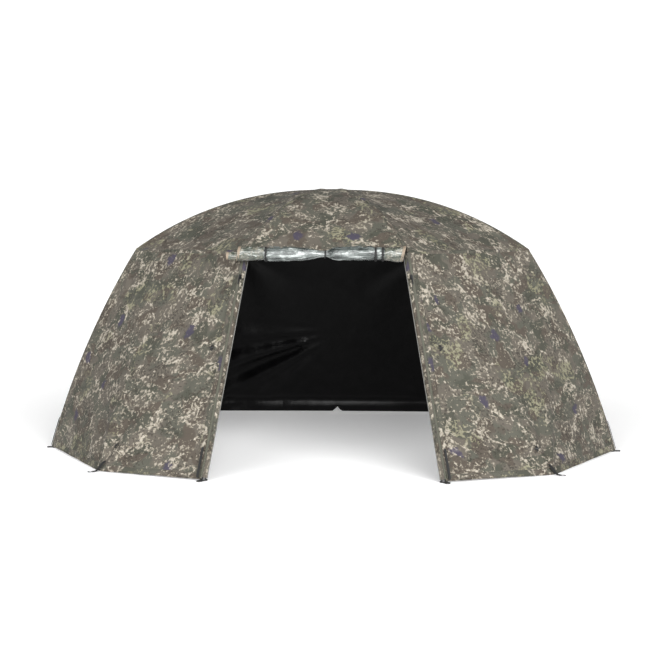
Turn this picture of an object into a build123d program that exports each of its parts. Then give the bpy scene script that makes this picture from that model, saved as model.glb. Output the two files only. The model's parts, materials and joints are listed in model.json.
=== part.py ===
"""Camouflage hub shelter used as a field blind: a twin hub, six jointed rib-and-leg spokes, a fabric
canopy in panels, a rolled door and two door zips.

Every spoke lies in one vertical plane. In that plane the local x is the reach outward from the hub
pivot and the local y is the height above the ground. Lengths are in millimetres and angles in degrees.
The origin is on the ground at the centre of the footprint, +Z is up and the doorway faces -Y.
"""

import math
import os

from build123d import *

os.makedirs("parts", exist_ok=True)

# ---- driving dimensions -----------------------------------------------------------------------
HUB_HEIGHT = 1372.0
KNUCKLE_HEIGHT = 1065.0
RIB_HALF_ARC = 17.5
# The hub and the side spokes stand at this y, which centres the whole footprint on the origin.
SIDE_Y = -242.21

# Plan layout of the right-hand spokes: hub pivot, heading, reach of knuckle and foot, bow of the leg.
PLAN = {
    "front": {"pivot": (63.0, SIDE_Y - 49.0), "heading": -59.3, "knuckle": 641.0, "foot": 986.0, "bow": 0.0},
    "side": {"pivot": (90.0, SIDE_Y), "heading": 0.0, "knuckle": 940.0, "foot": 1410.0, "bow": 40.0},
    "rear": {"pivot": (62.5, SIDE_Y + 46.5), "heading": 61.1, "knuckle": 1092.0, "foot": 1524.0, "bow": 20.0},
}
SIDES = {"left": -1, "right": 1}

TUBE_R = 9.5
TUBE_WALL = 1.2
SOCKET_R = 12.0

TONGUE_START = 24.0
SOCKET_LENGTH = 46.0
PLUG = 6.0
PIN_R = 3.0
RUNNING_GAP = 0.05

HUB_BLOCK_X = 55.0
HUB_CORE = (64.0, 64.0)
HUB_TOP = 11.0
HUB_BOTTOM = 24.0
HUB_CORNER_R = 2.5
ARM_WIDTH = 28.0
ARM_INNER = 32.0
ARM_OUTER = 11.0
SLOT_WIDTH = 13.0
SLOT_FLOOR = 17.0
SLOT_BACK = 14.0
ROOT_TONGUE = 12.0
ROOT_TONGUE_R = 11.5

BRIDGE_LENGTH = 46.0
BRIDGE_WIDTH = 34.0
BRIDGE_HEIGHT = 16.0
BRIDGE_BEVEL = 4.0

KNUCKLE_OFFSET = 14.0
KNUCKLE_START = 30.0
KNUCKLE_CUT = 90.0
EAR_R = 11.0
EAR_THICKNESS = 5.0
LEG_TONGUE = 10.0
LEG_TONGUE_R = 10.5
EAR_GAP = 0.5
RIVET_HEAD_R = 5.0
RIVET_HEAD = 1.2

FOOT_BASE = 5.0
FOOT_BASE_R = 19.0
FOOT_CUP = 46.0
PEG_TAB_WIDTH = 26.0
PEG_TAB_REACH = 34.0
PEG_HOLE_R = 5.5

PLUNGER_R = 5.0
PLUNGER_BORE_R = 5.4
PLUNGER_COLLAR_R = 9.0
PLUNGER_COLLAR = 4.0
CHAMBER_R = 11.0
CHAMBER_FLOOR = 6.0
CHAMBER_HEIGHT = 24.0
PLUNGER_STROKE = 10.0
BUTTON_R = 15.0
BUTTON_HEIGHT = 11.0
BUTTON_EDGE_R = 2.5
SPRING_R = 7.6
SPRING_WIRE = 0.7
SPRING_HEIGHT = 15.0
SPRING_TURNS = 5

CLOTH = 1.2
RIB_COVER = 18.5
LEG_COVER = 20.0
SEAM_INSET = 1.5
EAVES_BOW = 6.0
ROOF_INSET = 4.0
HEM_HEIGHT = 7.0
WALL_TOP = KNUCKLE_HEIGHT - 2.0
FRONT_PEG = (1110.0, SIDE_Y - 700.0)
REAR_PEG = (1280.0, SIDE_Y + 810.0)
ROOF_START = 0.07
ROOF_END = 0.985
ROOF_STATIONS = 9
WALL_STATIONS = 5

ROLL_R = 45.0
ROLL_Y = SIDE_Y - 672.0
ROLL_HEIGHT = 1066.0
ROLL_END = {"left": 461.0, "right": 382.0}
ROLL_EDGE_R = 10.0

SLIDER_SIZE = (11.0, 7.0, 24.0)
SLIDER_FROM_KNUCKLE = 125.0
SLIDER_STANDOFF = LEG_COVER + 8.0
SLIDER_INBOARD = 10.0
PULL_LENGTH = 38.0


# ---- frame geometry ---------------------------------------------------------------------------
class Spoke:
    """The plane, tube paths and hinge points of one rib and its leg."""

    def __init__(self, place, side):
        plan = PLAN[place]
        sign = SIDES[side]
        heading = math.radians(plan["heading"])
        self.name = f"{place}_{side}"
        self.side = side
        self.u = Vector(sign * math.cos(heading), math.sin(heading), 0)
        self.pivot_xy = Vector(sign * plan["pivot"][0], plan["pivot"][1], 0)
        self.plane = Plane(origin=self.pivot_xy, x_dir=self.u, z_dir=self.u.cross(Vector(0, 0, 1)))
        self.knuckle = Vector(plan["knuckle"], KNUCKLE_HEIGHT)
        self.foot = Vector(plan["foot"], 0)
        self.rib = self.bowed(Vector(0, HUB_HEIGHT), self.knuckle, RIB_HALF_ARC)
        chord = (self.foot - self.knuckle).length
        self.leg = self.bowed(self.knuckle, self.foot, math.degrees(2 * math.atan(2 * plan["bow"] / chord)))
        self.pin = self.knuckle_pin()

    def world(self, point, across=0.0):
        """A point given as reach and height, moved sideways out of the spoke's plane by across."""
        return self.plane.from_local_coords((point.X, point.Y, across))

    def bowed(self, start, end, half_arc):
        """A tube path from start to end that bows outward by half_arc at each end."""
        run = end - start
        bow = run.length / 2 * math.tan(math.radians(half_arc / 2))
        outward = Vector(-run.Y, run.X).normalized()
        middle = (start + end) / 2 + outward * bow
        if bow < 0.01:
            return Edge.make_line(self.world(start), self.world(end))
        return Edge.make_three_point_arc(self.world(start), self.world(middle), self.world(end))

    def flat(self, vector):
        """A direction in space, given as reach and height."""
        return Vector(vector.dot(self.u), vector.Z)

    def knuckle_pin(self):
        """The knuckle's pin, on the inner side of both tubes, KNUCKLE_OFFSET from each tube's line."""
        along_rib = self.flat(self.rib % 1)
        along_leg = self.flat(self.leg % 0)
        inward = (along_leg - along_rib).normalized()
        half = math.radians((180 - along_rib.get_angle(along_leg)) / 2)
        return self.knuckle + inward * (KNUCKLE_OFFSET / math.sin(half))

    def cover(self, path, share, stand_off):
        """The point of the canopy that lies stand_off outside a tube path, at a share of its length."""
        tangent = self.flat(path % share)
        outward = Vector(-tangent.Y, tangent.X).normalized()
        place = path @ share
        return place + self.u * (outward.X * stand_off) + Vector(0, 0, outward.Y * stand_off)

    def wall_point(self, height):
        """The point of the wall that lies outside the leg at a height."""
        share = 1 - height / KNUCKLE_HEIGHT
        for _ in range(6):
            share += (self.cover(self.leg, share, LEG_COVER).Z - height) / KNUCKLE_HEIGHT
        return self.cover(self.leg, share, LEG_COVER)


SPOKES = [Spoke(place, side) for side in SIDES for place in PLAN]
BY_NAME = {spoke.name: spoke for spoke in SPOKES}


def finish(part, label):
    """Label a finished piece and write it as its own file."""
    part.label = label
    export_step(part, f"parts/{label}.step")


def ring_along(path, outer, inner, start, end, plug=0.0):
    """Sweep a ring along a path between two distances from its start, solid over the first plug."""
    length = path.length
    whole = path.trim(start / length, end / length)
    with BuildPart() as ring:
        with BuildSketch(Plane(origin=whole @ 0, z_dir=whole % 0)):
            Circle(outer)
        sweep(path=whole)
        hollow = path.trim((start + plug) / length, end / length)
        with BuildSketch(Plane(origin=hollow @ 0, z_dir=hollow % 0)):
            Circle(inner)
        sweep(path=hollow, mode=Mode.SUBTRACT)
    return ring.part


def backwards(path):
    """The same path, run from its far end."""
    return path.reversed()


def hinge_plate(spoke, pin, pin_r, socket_face, direction, thickness):
    """A plate, centred on the spoke's plane, from a round boss at the pin to a socket's face."""
    angle = math.degrees(math.atan2(direction.Y, direction.X))
    with BuildPart() as plate:
        with BuildSketch(spoke.plane):
            with Locations((pin.X, pin.Y)):
                Circle(pin_r)
            with Locations(Location((socket_face.X, socket_face.Y, 0), (0, 0, angle))):
                Rectangle(2.0, 2 * SOCKET_R - 1.0)
            make_hull()
        extrude(amount=thickness / 2, both=True)
    return plate.part


def cross_pin(spoke, pin, radius, length):
    """A round pin across the spoke's plane."""
    with BuildPart() as rod:
        with BuildSketch(spoke.plane):
            with Locations((pin.X, pin.Y)):
                Circle(radius)
        extrude(amount=length / 2, both=True)
    return rod.part


# ---- spokes: ribs, knuckles, legs and feet ----------------------------------------------------
def make_rib(spoke):
    """The curved roof rib tube."""
    length = spoke.rib.length
    tube = ring_along(
        spoke.rib, TUBE_R, TUBE_R - TUBE_WALL, TONGUE_START + PLUG, length - KNUCKLE_START - PLUG
    )
    finish(tube, f"{spoke.name}_roof_rib")


def make_rib_root(spoke):
    """The moulded socket at the hub end of the rib, with the tongue that turns on the hub pin."""
    pivot = Vector(0, HUB_HEIGHT)
    heading = spoke.flat(spoke.rib % 0)
    with BuildPart() as root:
        add(ring_along(
            spoke.rib, SOCKET_R, TUBE_R, TONGUE_START, TONGUE_START + SOCKET_LENGTH, plug=PLUG
        ))
        add(hinge_plate(spoke, pivot, ROOT_TONGUE_R, pivot + heading * TONGUE_START, heading, ROOT_TONGUE))
        add(cross_pin(spoke, pivot, PIN_R + RUNNING_GAP, ARM_WIDTH), mode=Mode.SUBTRACT)
    finish(root.part, f"{spoke.name}_rib_root")


def make_knuckle(spoke):
    """The moulded knuckle on the rib's outer end: a socket with two ears, and the rivet through them."""
    heading = spoke.flat(spoke.rib % 1)
    face = spoke.knuckle - heading * KNUCKLE_START
    span = LEG_TONGUE + 2 * (EAR_GAP + EAR_THICKNESS)
    with BuildPart() as housing:
        add(ring_along(
            backwards(spoke.rib), SOCKET_R, TUBE_R, KNUCKLE_START, KNUCKLE_START + SOCKET_LENGTH, plug=PLUG
        ))
        add(hinge_plate(spoke, spoke.pin, EAR_R, face, heading, span))
        gap_centre = spoke.pin + (spoke.knuckle - spoke.pin) * 0.5
        with BuildSketch(spoke.plane):
            with Locations(Location(
                (gap_centre.X, gap_centre.Y, 0),
                (0, 0, math.degrees(math.atan2(heading.Y, heading.X))),
            )):
                Rectangle(2 * (KNUCKLE_START - PLUG), KNUCKLE_CUT)
        extrude(amount=LEG_TONGUE / 2 + EAR_GAP, both=True, mode=Mode.SUBTRACT)
        add(cross_pin(spoke, spoke.pin, PIN_R, span), mode=Mode.SUBTRACT)
    with BuildPart() as rivet:
        add(cross_pin(spoke, spoke.pin, PIN_R, span))
        for facing in (1, -1):
            head_face = Plane(
                origin=spoke.world(spoke.pin, facing * span / 2), z_dir=spoke.plane.z_dir * facing
            )
            with BuildSketch(head_face):
                Circle(RIVET_HEAD_R)
            extrude(amount=RIVET_HEAD)
    finish(Compound(children=[housing.part, rivet.part]), f"{spoke.name}_knuckle")


def make_leg_top(spoke):
    """The moulded socket at the top of the leg, with the tongue that turns on the knuckle's rivet."""
    heading = spoke.flat(spoke.leg % 0)
    face = spoke.knuckle + heading * KNUCKLE_START
    with BuildPart() as top:
        add(ring_along(
            spoke.leg, SOCKET_R, TUBE_R, KNUCKLE_START, KNUCKLE_START + SOCKET_LENGTH, plug=PLUG
        ))
        add(hinge_plate(spoke, spoke.pin, LEG_TONGUE_R, face, heading, LEG_TONGUE))
        add(cross_pin(spoke, spoke.pin, PIN_R + RUNNING_GAP, ARM_WIDTH), mode=Mode.SUBTRACT)
    finish(top.part, f"{spoke.name}_leg_top")


def make_leg(spoke):
    """The leg tube, cut level where it stands in its foot."""
    with BuildPart() as leg:
        add(ring_along(
            spoke.leg, TUBE_R, TUBE_R - TUBE_WALL, KNUCKLE_START + PLUG, spoke.leg.length
        ))
        split(bisect_by=Plane.XY.offset(FOOT_BASE), keep=Keep.TOP)
    finish(leg.part, f"{spoke.name}_leg")


def make_foot(spoke):
    """The moulded foot: a level base with a peg tab pointing outward, and a cup around the tube."""
    ground = Plane(origin=spoke.leg @ 1, x_dir=spoke.u, z_dir=(0, 0, 1))
    with BuildPart() as foot:
        add(ring_along(backwards(spoke.leg), SOCKET_R, TUBE_R, 0.0, FOOT_CUP))
        split(bisect_by=Plane.XY.offset(FOOT_BASE), keep=Keep.TOP)
        with BuildSketch(ground):
            Circle(FOOT_BASE_R)
            with Locations((PEG_TAB_REACH, 0)):
                Circle(PEG_TAB_WIDTH / 2)
            with Locations((PEG_TAB_REACH / 2, 0)):
                Rectangle(PEG_TAB_REACH, PEG_TAB_WIDTH)
            with Locations((PEG_TAB_REACH, 0)):
                Circle(PEG_HOLE_R, mode=Mode.SUBTRACT)
        extrude(amount=FOOT_BASE)
    finish(foot.part, f"{spoke.name}_foot")


# ---- hub --------------------------------------------------------------------------------------
def make_hub_block(side):
    """One moulded hub block: a core with three slotted arms and the release plunger's chamber."""
    centre = Vector(SIDES[side] * HUB_BLOCK_X, SIDE_Y, 0)
    bottom = Plane.XY.offset(HUB_HEIGHT - HUB_BOTTOM)
    spokes = [spoke for spoke in SPOKES if spoke.side == side]
    with BuildPart() as block:
        with BuildSketch(bottom):
            with Locations((centre.X, centre.Y)):
                RectangleRounded(*HUB_CORE, 14)
            for spoke in spokes:
                arm = spoke.pivot_xy + spoke.u * ((ARM_OUTER - ARM_INNER) / 2)
                turn = math.degrees(math.atan2(spoke.u.Y, spoke.u.X))
                with Locations(Location((arm.X, arm.Y, 0), (0, 0, turn))):
                    Rectangle(ARM_OUTER + ARM_INNER, ARM_WIDTH)
        extrude(amount=HUB_BOTTOM + HUB_TOP)
        fillet(block.edges().filter_by(Axis.Z), HUB_CORNER_R)
        for spoke in spokes:
            with BuildSketch(spoke.plane):
                with Locations((20 - SLOT_BACK, HUB_HEIGHT - SLOT_FLOOR + 25)):
                    Rectangle(40, 50)
            extrude(amount=SLOT_WIDTH / 2, both=True, mode=Mode.SUBTRACT)
            add(cross_pin(spoke, Vector(0, HUB_HEIGHT), PIN_R, ARM_WIDTH), mode=Mode.SUBTRACT)
        with BuildSketch(bottom):
            with Locations((centre.X, centre.Y)):
                Circle(PLUNGER_BORE_R)
        extrude(amount=CHAMBER_FLOOR, mode=Mode.SUBTRACT)
        with BuildSketch(bottom.offset(CHAMBER_FLOOR)):
            with Locations((centre.X, centre.Y)):
                Circle(CHAMBER_R)
        extrude(amount=CHAMBER_HEIGHT, mode=Mode.SUBTRACT)
    return block.part


def make_hub():
    """Both hub blocks, the bridge between them and the six hinge pins."""
    finish(Compound(children=[make_hub_block(side) for side in SIDES]), "hub_blocks")

    with BuildPart() as bridge:
        with BuildSketch(Plane.XY.offset(HUB_HEIGHT - HUB_BOTTOM)):
            with Locations((0, SIDE_Y)):
                Rectangle(BRIDGE_LENGTH, BRIDGE_WIDTH)
        extrude(amount=BRIDGE_HEIGHT)
        chamfer(bridge.faces().sort_by(Axis.Z)[-1].edges().filter_by(Axis.X), BRIDGE_BEVEL)
    finish(bridge.part, "hub_bridge")

    pins = [cross_pin(spoke, Vector(0, HUB_HEIGHT), PIN_R, ARM_WIDTH) for spoke in SPOKES]
    finish(Compound(children=pins), "hub_hinge_pins")


def make_plunger(side):
    """A release plunger: a button under the hub, a stem and a collar that its spring pushes up."""
    centre = (SIDES[side] * HUB_BLOCK_X, SIDE_Y)
    bottom = HUB_HEIGHT - HUB_BOTTOM
    collar = bottom + CHAMBER_FLOOR + SPRING_HEIGHT
    with BuildPart() as plunger:
        with BuildSketch(Plane.XY.offset(bottom - BUTTON_HEIGHT - 1)):
            with Locations(centre):
                Circle(BUTTON_R)
        extrude(amount=BUTTON_HEIGHT)
        fillet(plunger.edges().filter_by(GeomType.CIRCLE), BUTTON_EDGE_R)
        with BuildSketch(Plane.XY.offset(bottom - 1.5)):
            with Locations(centre):
                Circle(PLUNGER_R)
        extrude(amount=collar - bottom + 2)
        with BuildSketch(Plane.XY.offset(collar)):
            with Locations(centre):
                Circle(PLUNGER_COLLAR_R)
        extrude(amount=PLUNGER_COLLAR)
    finish(plunger.part, f"release_plunger_{side}")


def make_lock_spring(side):
    """The coil spring between the hub chamber's floor and the plunger's collar."""
    floor = HUB_HEIGHT - HUB_BOTTOM + CHAMBER_FLOOR
    centre = Vector(SIDES[side] * HUB_BLOCK_X, SIDE_Y, floor + SPRING_WIRE + 0.1)
    rise = SPRING_HEIGHT - 2 * SPRING_WIRE - 0.2
    coil = Helix(rise / SPRING_TURNS, rise, SPRING_R, center=centre, mode=Mode.PRIVATE)
    with BuildPart() as spring:
        with BuildSketch(Plane(origin=coil @ 0, z_dir=coil % 0)):
            Circle(SPRING_WIRE)
        sweep(path=coil, is_frenet=True)
    finish(spring.part, f"lock_spring_{side}")


# ---- canopy -----------------------------------------------------------------------------------
def roof_panel(stations):
    """A thin ruled panel through stations, each a pair of points on its two edges."""
    across = [far - near for near, far in stations]
    with BuildPart() as panel:
        for index, (near, far) in enumerate(stations):
            before = stations[max(index - 1, 0)]
            after = stations[min(index + 1, len(stations) - 1)]
            along = (after[0] + after[1]) - (before[0] + before[1])
            side_dir = across[index].normalized()
            up = side_dir.cross(along.normalized())
            if up.Z < 0:
                up = -up
            width = across[index].length
            station = Plane(origin=near, x_dir=side_dir, z_dir=side_dir.cross(up.normalized()))
            with BuildSketch(station):
                with Locations((width / 2, CLOTH / 2)):
                    Rectangle(width - 2 * SEAM_INSET, CLOTH)
        loft(ruled=True)
    return panel.part


def roof_shares():
    """The shares of a rib's length at which a roof panel has a station."""
    step = (ROOF_END - ROOF_START) / (ROOF_STATIONS - 1)
    return [ROOF_START + step * index for index in range(ROOF_STATIONS)]


def gore(first, second):
    """The roof panel between two ribs."""
    return roof_panel([
        (first.cover(first.rib, share, RIB_COVER), second.cover(second.rib, share, RIB_COVER))
        for share in roof_shares()
    ])


def half_panel(spoke):
    """The roof panel between a rib and the shelter's centre line."""
    edge = [spoke.cover(spoke.rib, share, RIB_COVER) for share in roof_shares()]
    return roof_panel([(Vector(0, point.Y, point.Z), point) for point in edge])


def outward_normal(start, end):
    """The level direction square to a line that points away from the shelter's middle."""
    run = (end - start).normalized()
    normal = Vector(run.Y, -run.X, 0)
    away = (start + end) / 2 - Vector(0, SIDE_Y, 0)
    return normal if normal.dot(away) > 0 else -normal


def outward_offset(points):
    """The points of an open line moved outward by the cloth's thickness, mitred at the bends."""
    normals = [outward_normal(start, end) for start, end in zip(points, points[1:])]
    moved = []
    for index, point in enumerate(points):
        near = normals[max(index - 1, 0)]
        far = normals[min(index, len(normals) - 1)]
        mitre = (near + far).normalized()
        moved.append(point + mitre * (CLOTH / mitre.dot(near)))
    return moved


def wall_panel(line_at):
    """A thin wall lofted through level stations; line_at gives the wall's inner line at a height."""
    step = (WALL_TOP - HEM_HEIGHT) / (WALL_STATIONS - 1)
    with BuildPart() as wall:
        for index in range(WALL_STATIONS):
            height = HEM_HEIGHT + step * index
            inner = line_at(height)
            trim_start = (inner[1] - inner[0]).normalized() * SEAM_INSET
            trim_end = (inner[-2] - inner[-1]).normalized() * SEAM_INSET
            inner = [inner[0] + trim_start, *inner[1:-1], inner[-1] + trim_end]
            outline = inner + outward_offset(inner)[::-1]
            with BuildSketch(Plane.XY.offset(height)):
                with BuildLine():
                    Polyline([(point.X, point.Y) for point in outline], close=True)
                make_face()
        loft(ruled=True)
    return wall.part


def corner_line(first, second, peg):
    """A wall's line between two legs, pulled out at the hem to a pegged corner between them."""
    start = first.wall_point(WALL_TOP)
    end = second.wall_point(WALL_TOP)
    eaves = (start + end) / 2 + outward_normal(start, end) * EAVES_BOW
    corner = Vector(math.copysign(peg[0], eaves.X), peg[1], 0)

    def line_at(height):
        share = 1 - height / WALL_TOP
        middle = Vector(
            eaves.X + (corner.X - eaves.X) * share, eaves.Y + (corner.Y - eaves.Y) * share, height
        )
        return [first.wall_point(height), middle, second.wall_point(height)]

    return line_at


def rear_line(spoke):
    """The rear wall's line from a rear leg to the shelter's centre line."""

    def line_at(height):
        end = spoke.wall_point(height)
        return [end, Vector(0, end.Y, height)]

    return line_at


def make_canopy(side):
    """The roof panels and walls of one side of the shelter."""
    front, flank, rear = (BY_NAME[f"{place}_{side}"] for place in PLAN)
    front_roof = Compound(children=[half_panel(front), gore(front, flank)])
    finish(front_roof, f"{front.name}_roof_panel")
    finish(gore(flank, rear), f"{flank.name}_roof_panel")
    finish(half_panel(rear), f"{rear.name}_roof_panel")
    finish(wall_panel(corner_line(front, flank, FRONT_PEG)), f"{front.name}_wall")
    finish(wall_panel(corner_line(flank, rear, REAR_PEG)), f"{flank.name}_wall")
    finish(wall_panel(rear_line(rear)), f"{rear.name}_wall")


def make_hub_cover():
    """The doubled patch of cloth over the hub, between the inner ends of the six ribs."""
    corners = [
        spoke.cover(spoke.rib, ROOF_START, RIB_COVER)
        for spoke in (BY_NAME[name] for name in (
            "front_left", "side_left", "rear_left", "rear_right", "side_right", "front_right"
        ))
    ]
    points = [point - (point - Vector(0, SIDE_Y, 0)).normalized() * ROOF_INSET for point in corners]
    with BuildPart() as patch:
        with BuildSketch(Plane.XY.offset(HUB_HEIGHT + RIB_COVER)):
            with BuildLine():
                Polyline([(point.X, point.Y) for point in points], close=True)
            make_face()
        extrude(amount=CLOTH)
    finish(patch.part, "hub_cover_patch")


def make_door_roll(side):
    """Half of the rolled-up door, from the centre strap to the roll's end."""
    near = Vector(SIDES[side] * SEAM_INSET, ROLL_Y, ROLL_HEIGHT)
    with BuildPart() as roll:
        with BuildSketch(Plane(origin=near, z_dir=(SIDES[side], 0, 0))):
            Circle(ROLL_R)
        extrude(amount=ROLL_END[side] - SEAM_INSET)
        fillet(roll.edges().filter_by(GeomType.CIRCLE), ROLL_EDGE_R)
    finish(roll.part, f"{side}_door_roll")


def make_zip_slider(side):
    """A zip slider on the door's edge, with its pull tab hanging down the zip."""
    spoke = BY_NAME[f"front_{side}"]
    down = (spoke.leg % 0).normalized()
    outward = spoke.u * -down.Z + Vector(0, 0, down.dot(spoke.u))
    inboard = Vector(-SIDES[side], 0, 0)
    inboard = (inboard - outward * inboard.dot(outward) - down * inboard.dot(down)).normalized()
    place = spoke.leg @ (SLIDER_FROM_KNUCKLE / spoke.leg.length)
    place += outward * SLIDER_STANDOFF + inboard * SLIDER_INBOARD
    width, depth, height = SLIDER_SIZE
    face = Plane(origin=place, x_dir=inboard, z_dir=outward)
    with BuildPart() as slider:
        with BuildSketch(face):
            RectangleRounded(width, height, 3)
        extrude(amount=depth / 2, both=True)
        with BuildSketch(face.offset(depth / 2)):
            with Locations((0, math.copysign(PULL_LENGTH / 2, face.y_dir.dot(down)))):
                RectangleRounded(6, PULL_LENGTH, 2.5)
        extrude(amount=2)
    finish(slider.part, f"zip_slider_{side}")


for each in SPOKES:
    make_rib(each)
    make_rib_root(each)
    make_knuckle(each)
    make_leg_top(each)
    make_leg(each)
    make_foot(each)

make_hub()
make_hub_cover()

for each_side in SIDES:
    make_plunger(each_side)
    make_lock_spring(each_side)
    make_canopy(each_side)
    make_door_roll(each_side)
    make_zip_slider(each_side)
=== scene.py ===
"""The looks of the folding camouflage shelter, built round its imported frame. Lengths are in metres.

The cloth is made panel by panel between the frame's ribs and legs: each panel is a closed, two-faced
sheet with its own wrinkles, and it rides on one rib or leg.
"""

import json
import math

import bpy
import numpy as np
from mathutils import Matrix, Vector


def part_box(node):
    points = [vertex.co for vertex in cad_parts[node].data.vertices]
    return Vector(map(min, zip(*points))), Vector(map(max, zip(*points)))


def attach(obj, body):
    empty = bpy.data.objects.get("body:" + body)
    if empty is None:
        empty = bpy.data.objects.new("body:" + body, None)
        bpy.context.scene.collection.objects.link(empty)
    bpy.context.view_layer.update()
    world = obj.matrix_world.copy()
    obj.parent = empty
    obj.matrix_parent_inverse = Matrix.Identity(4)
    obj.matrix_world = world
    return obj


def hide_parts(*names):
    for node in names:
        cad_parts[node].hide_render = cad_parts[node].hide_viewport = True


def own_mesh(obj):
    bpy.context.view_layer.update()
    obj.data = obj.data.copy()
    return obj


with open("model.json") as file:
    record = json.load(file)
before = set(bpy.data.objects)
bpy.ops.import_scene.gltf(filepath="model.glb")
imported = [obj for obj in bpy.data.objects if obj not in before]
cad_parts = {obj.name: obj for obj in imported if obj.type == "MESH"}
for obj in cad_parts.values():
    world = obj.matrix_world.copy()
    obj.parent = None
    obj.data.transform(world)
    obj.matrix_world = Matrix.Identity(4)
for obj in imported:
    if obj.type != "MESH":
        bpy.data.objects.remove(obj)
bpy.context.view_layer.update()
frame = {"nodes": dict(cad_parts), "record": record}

RECORD = frame["record"]
JOINTS = {joint["name"]: joint for joint in RECORD["behaviour"]["joints"]}
MOUNTS = {mount["name"]: mount for mount in RECORD["mounts"]}

# ---- sizes, as the frame has them ---------------------------------------------------------------
SIDES = {"left": -1, "right": 1}
PLACES = ("front", "side", "rear")
KNUCKLE_REACH = {"front": 0.641, "side": 0.940, "rear": 1.092}
LEG_BOW = {"front": 0.0, "side": 0.040, "rear": 0.020}
KNUCKLE_HEIGHT = 1.065
RIB_HALF_ARC = math.radians(17.5)
PEG_TAB_REACH = 0.034

# The cloth stands off the middle lines of the tubes, and is meshed in cells of one size.
RIB_STAND_OFF = 0.0185
LEG_STAND_OFF = 0.0200
CLOTH = 0.0012
CELL = 0.0155
HUB_SHARE = 0.07
HUB_BLOCK_X = 0.055
HEM_HEIGHT = 0.002

SEAM_WIDTH = 0.026
EAVES_SEAM_WIDTH = 0.022
SEAM_THICKNESS = 0.0009
COIL_WIRE = 0.0007
COIL_TURNS = 5


def vec(*numbers):
    return np.array(numbers, float)


def unit(v):
    v = np.asarray(v, float)
    return v / np.maximum(np.linalg.norm(v, axis=-1, keepdims=True), 1e-12)


UP = vec(0, 0, 1)


class Spoke:
    """One rib and its leg: the lines of their tubes and of the cloth that lies over them."""

    def __init__(self, place, side):
        self.name = f"{place}_{side}"
        hinge = JOINTS.get(f"{self.name}_rib_hinge", JOINTS["frame_fold"])
        self.pivot = vec(*hinge["pos_m"])
        self.u = unit(np.cross(UP, vec(*hinge["axis"])))
        self.pin = vec(*JOINTS[f"{self.name}_knuckle_hinge"]["pos_m"])
        self.knuckle = self.pivot + self.u * KNUCKLE_REACH[place]
        self.knuckle[2] = KNUCKLE_HEIGHT
        self.foot = vec(*MOUNTS[f"peg_hole_{self.name}"]["pos_m"]) - self.u * PEG_TAB_REACH
        self.foot[2] = 0.0
        chord = np.linalg.norm(self.foot - self.knuckle)
        self.leg_half_arc = max(2 * math.atan(2 * LEG_BOW[place] / chord), 1e-5)
        rib_end = self.arc(self.pivot, self.knuckle, RIB_HALF_ARC, 1.0, RIB_STAND_OFF)
        leg_top = self.arc(self.knuckle, self.foot, self.leg_half_arc, 0.0, LEG_STAND_OFF)
        out = unit((rib_end + leg_top) / 2 - self.knuckle)
        self.shoulder = self.knuckle + out * (RIB_STAND_OFF + LEG_STAND_OFF) / 2 * 1.03
        self.rib_shift = self.shoulder - rib_end
        self.leg_shift = self.shoulder - leg_top
        self.rib_body = f"{self.name}_rib"
        self.leg_body = f"{self.name}_leg"

    def arc(self, start, end, half, share, stand_off):
        """A point at a share of a bowed tube's length, moved outward by stand_off."""
        share = np.asarray(share, float)[..., None]
        along = unit(end - start)
        out = unit(np.cross(np.cross(self.u, UP), along))
        radius = np.linalg.norm(end - start) / 2 / math.sin(half)
        turn = (2 * share - 1) * half
        middle = (start + end) / 2
        lift = (radius + stand_off) * np.cos(turn) - radius * math.cos(half)
        return middle + along * ((radius + stand_off) * np.sin(turn)) + out * lift

    def rib_line(self, share):
        """The cloth's line over the rib."""
        near_knuckle = smooth(0.9, 1.0, share)[..., None]
        line = self.arc(self.pivot, self.knuckle, RIB_HALF_ARC, share, RIB_STAND_OFF)
        return line + near_knuckle * self.rib_shift

    def leg_line(self, share):
        """The cloth's line over the leg, from the shoulder to the hem."""
        near_knuckle = 1 - smooth(0.0, 0.1, share)[..., None]
        line = self.arc(self.knuckle, self.foot, self.leg_half_arc, share, LEG_STAND_OFF)
        line = line + near_knuckle * self.leg_shift
        line[..., 2] += HEM_HEIGHT * np.asarray(share)
        return line


def smooth(low, high, x):
    t = np.clip((np.asarray(x, float) - low) / (high - low), 0, 1)
    return t * t * (3 - 2 * t)


SPOKES = {f"{place}_{side}": Spoke(place, side) for place in PLACES for side in SIDES}
SIDE_Y = SPOKES["side_left"].pivot[1]
MIDDLE = vec(0, SIDE_Y, 0.4)


def spokes_of(side):
    return [SPOKES[f"{place}_{side}"] for place in PLACES]


# ---- lines and grids of points ------------------------------------------------------------------
def run_along(line):
    """The distance covered along a line at each of its points."""
    return np.concatenate([[0], np.cumsum(np.linalg.norm(np.diff(line, axis=0), axis=1))])


def row_lengths(grid):
    return np.linalg.norm(np.diff(grid, axis=1), axis=-1).sum(axis=1)


def column_lengths(grid):
    return np.linalg.norm(np.diff(grid, axis=0), axis=-1).sum(axis=0)


def sampled(line, share, own=None):
    """A line's points at shares of its count of points, or at values of its own scale."""
    own = np.linspace(0, 1, len(line)) if own is None else own
    return np.stack([np.interp(share, own, line[:, k]) for k in range(3)], -1)


def ruled(near, far, across):
    """A grid on straight lines from near to far, with a column at each share across."""
    return near[:, None] * (1 - across)[None, :, None] + far[:, None] * across[None, :, None]


def circle(centre, a, b, count=40):
    """Points round a circle or an ellipse with half axes a and b."""
    angle = np.linspace(0, 2 * math.pi, count, endpoint=False)[:, None]
    return centre + np.cos(angle) * a + np.sin(angle) * b


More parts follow.
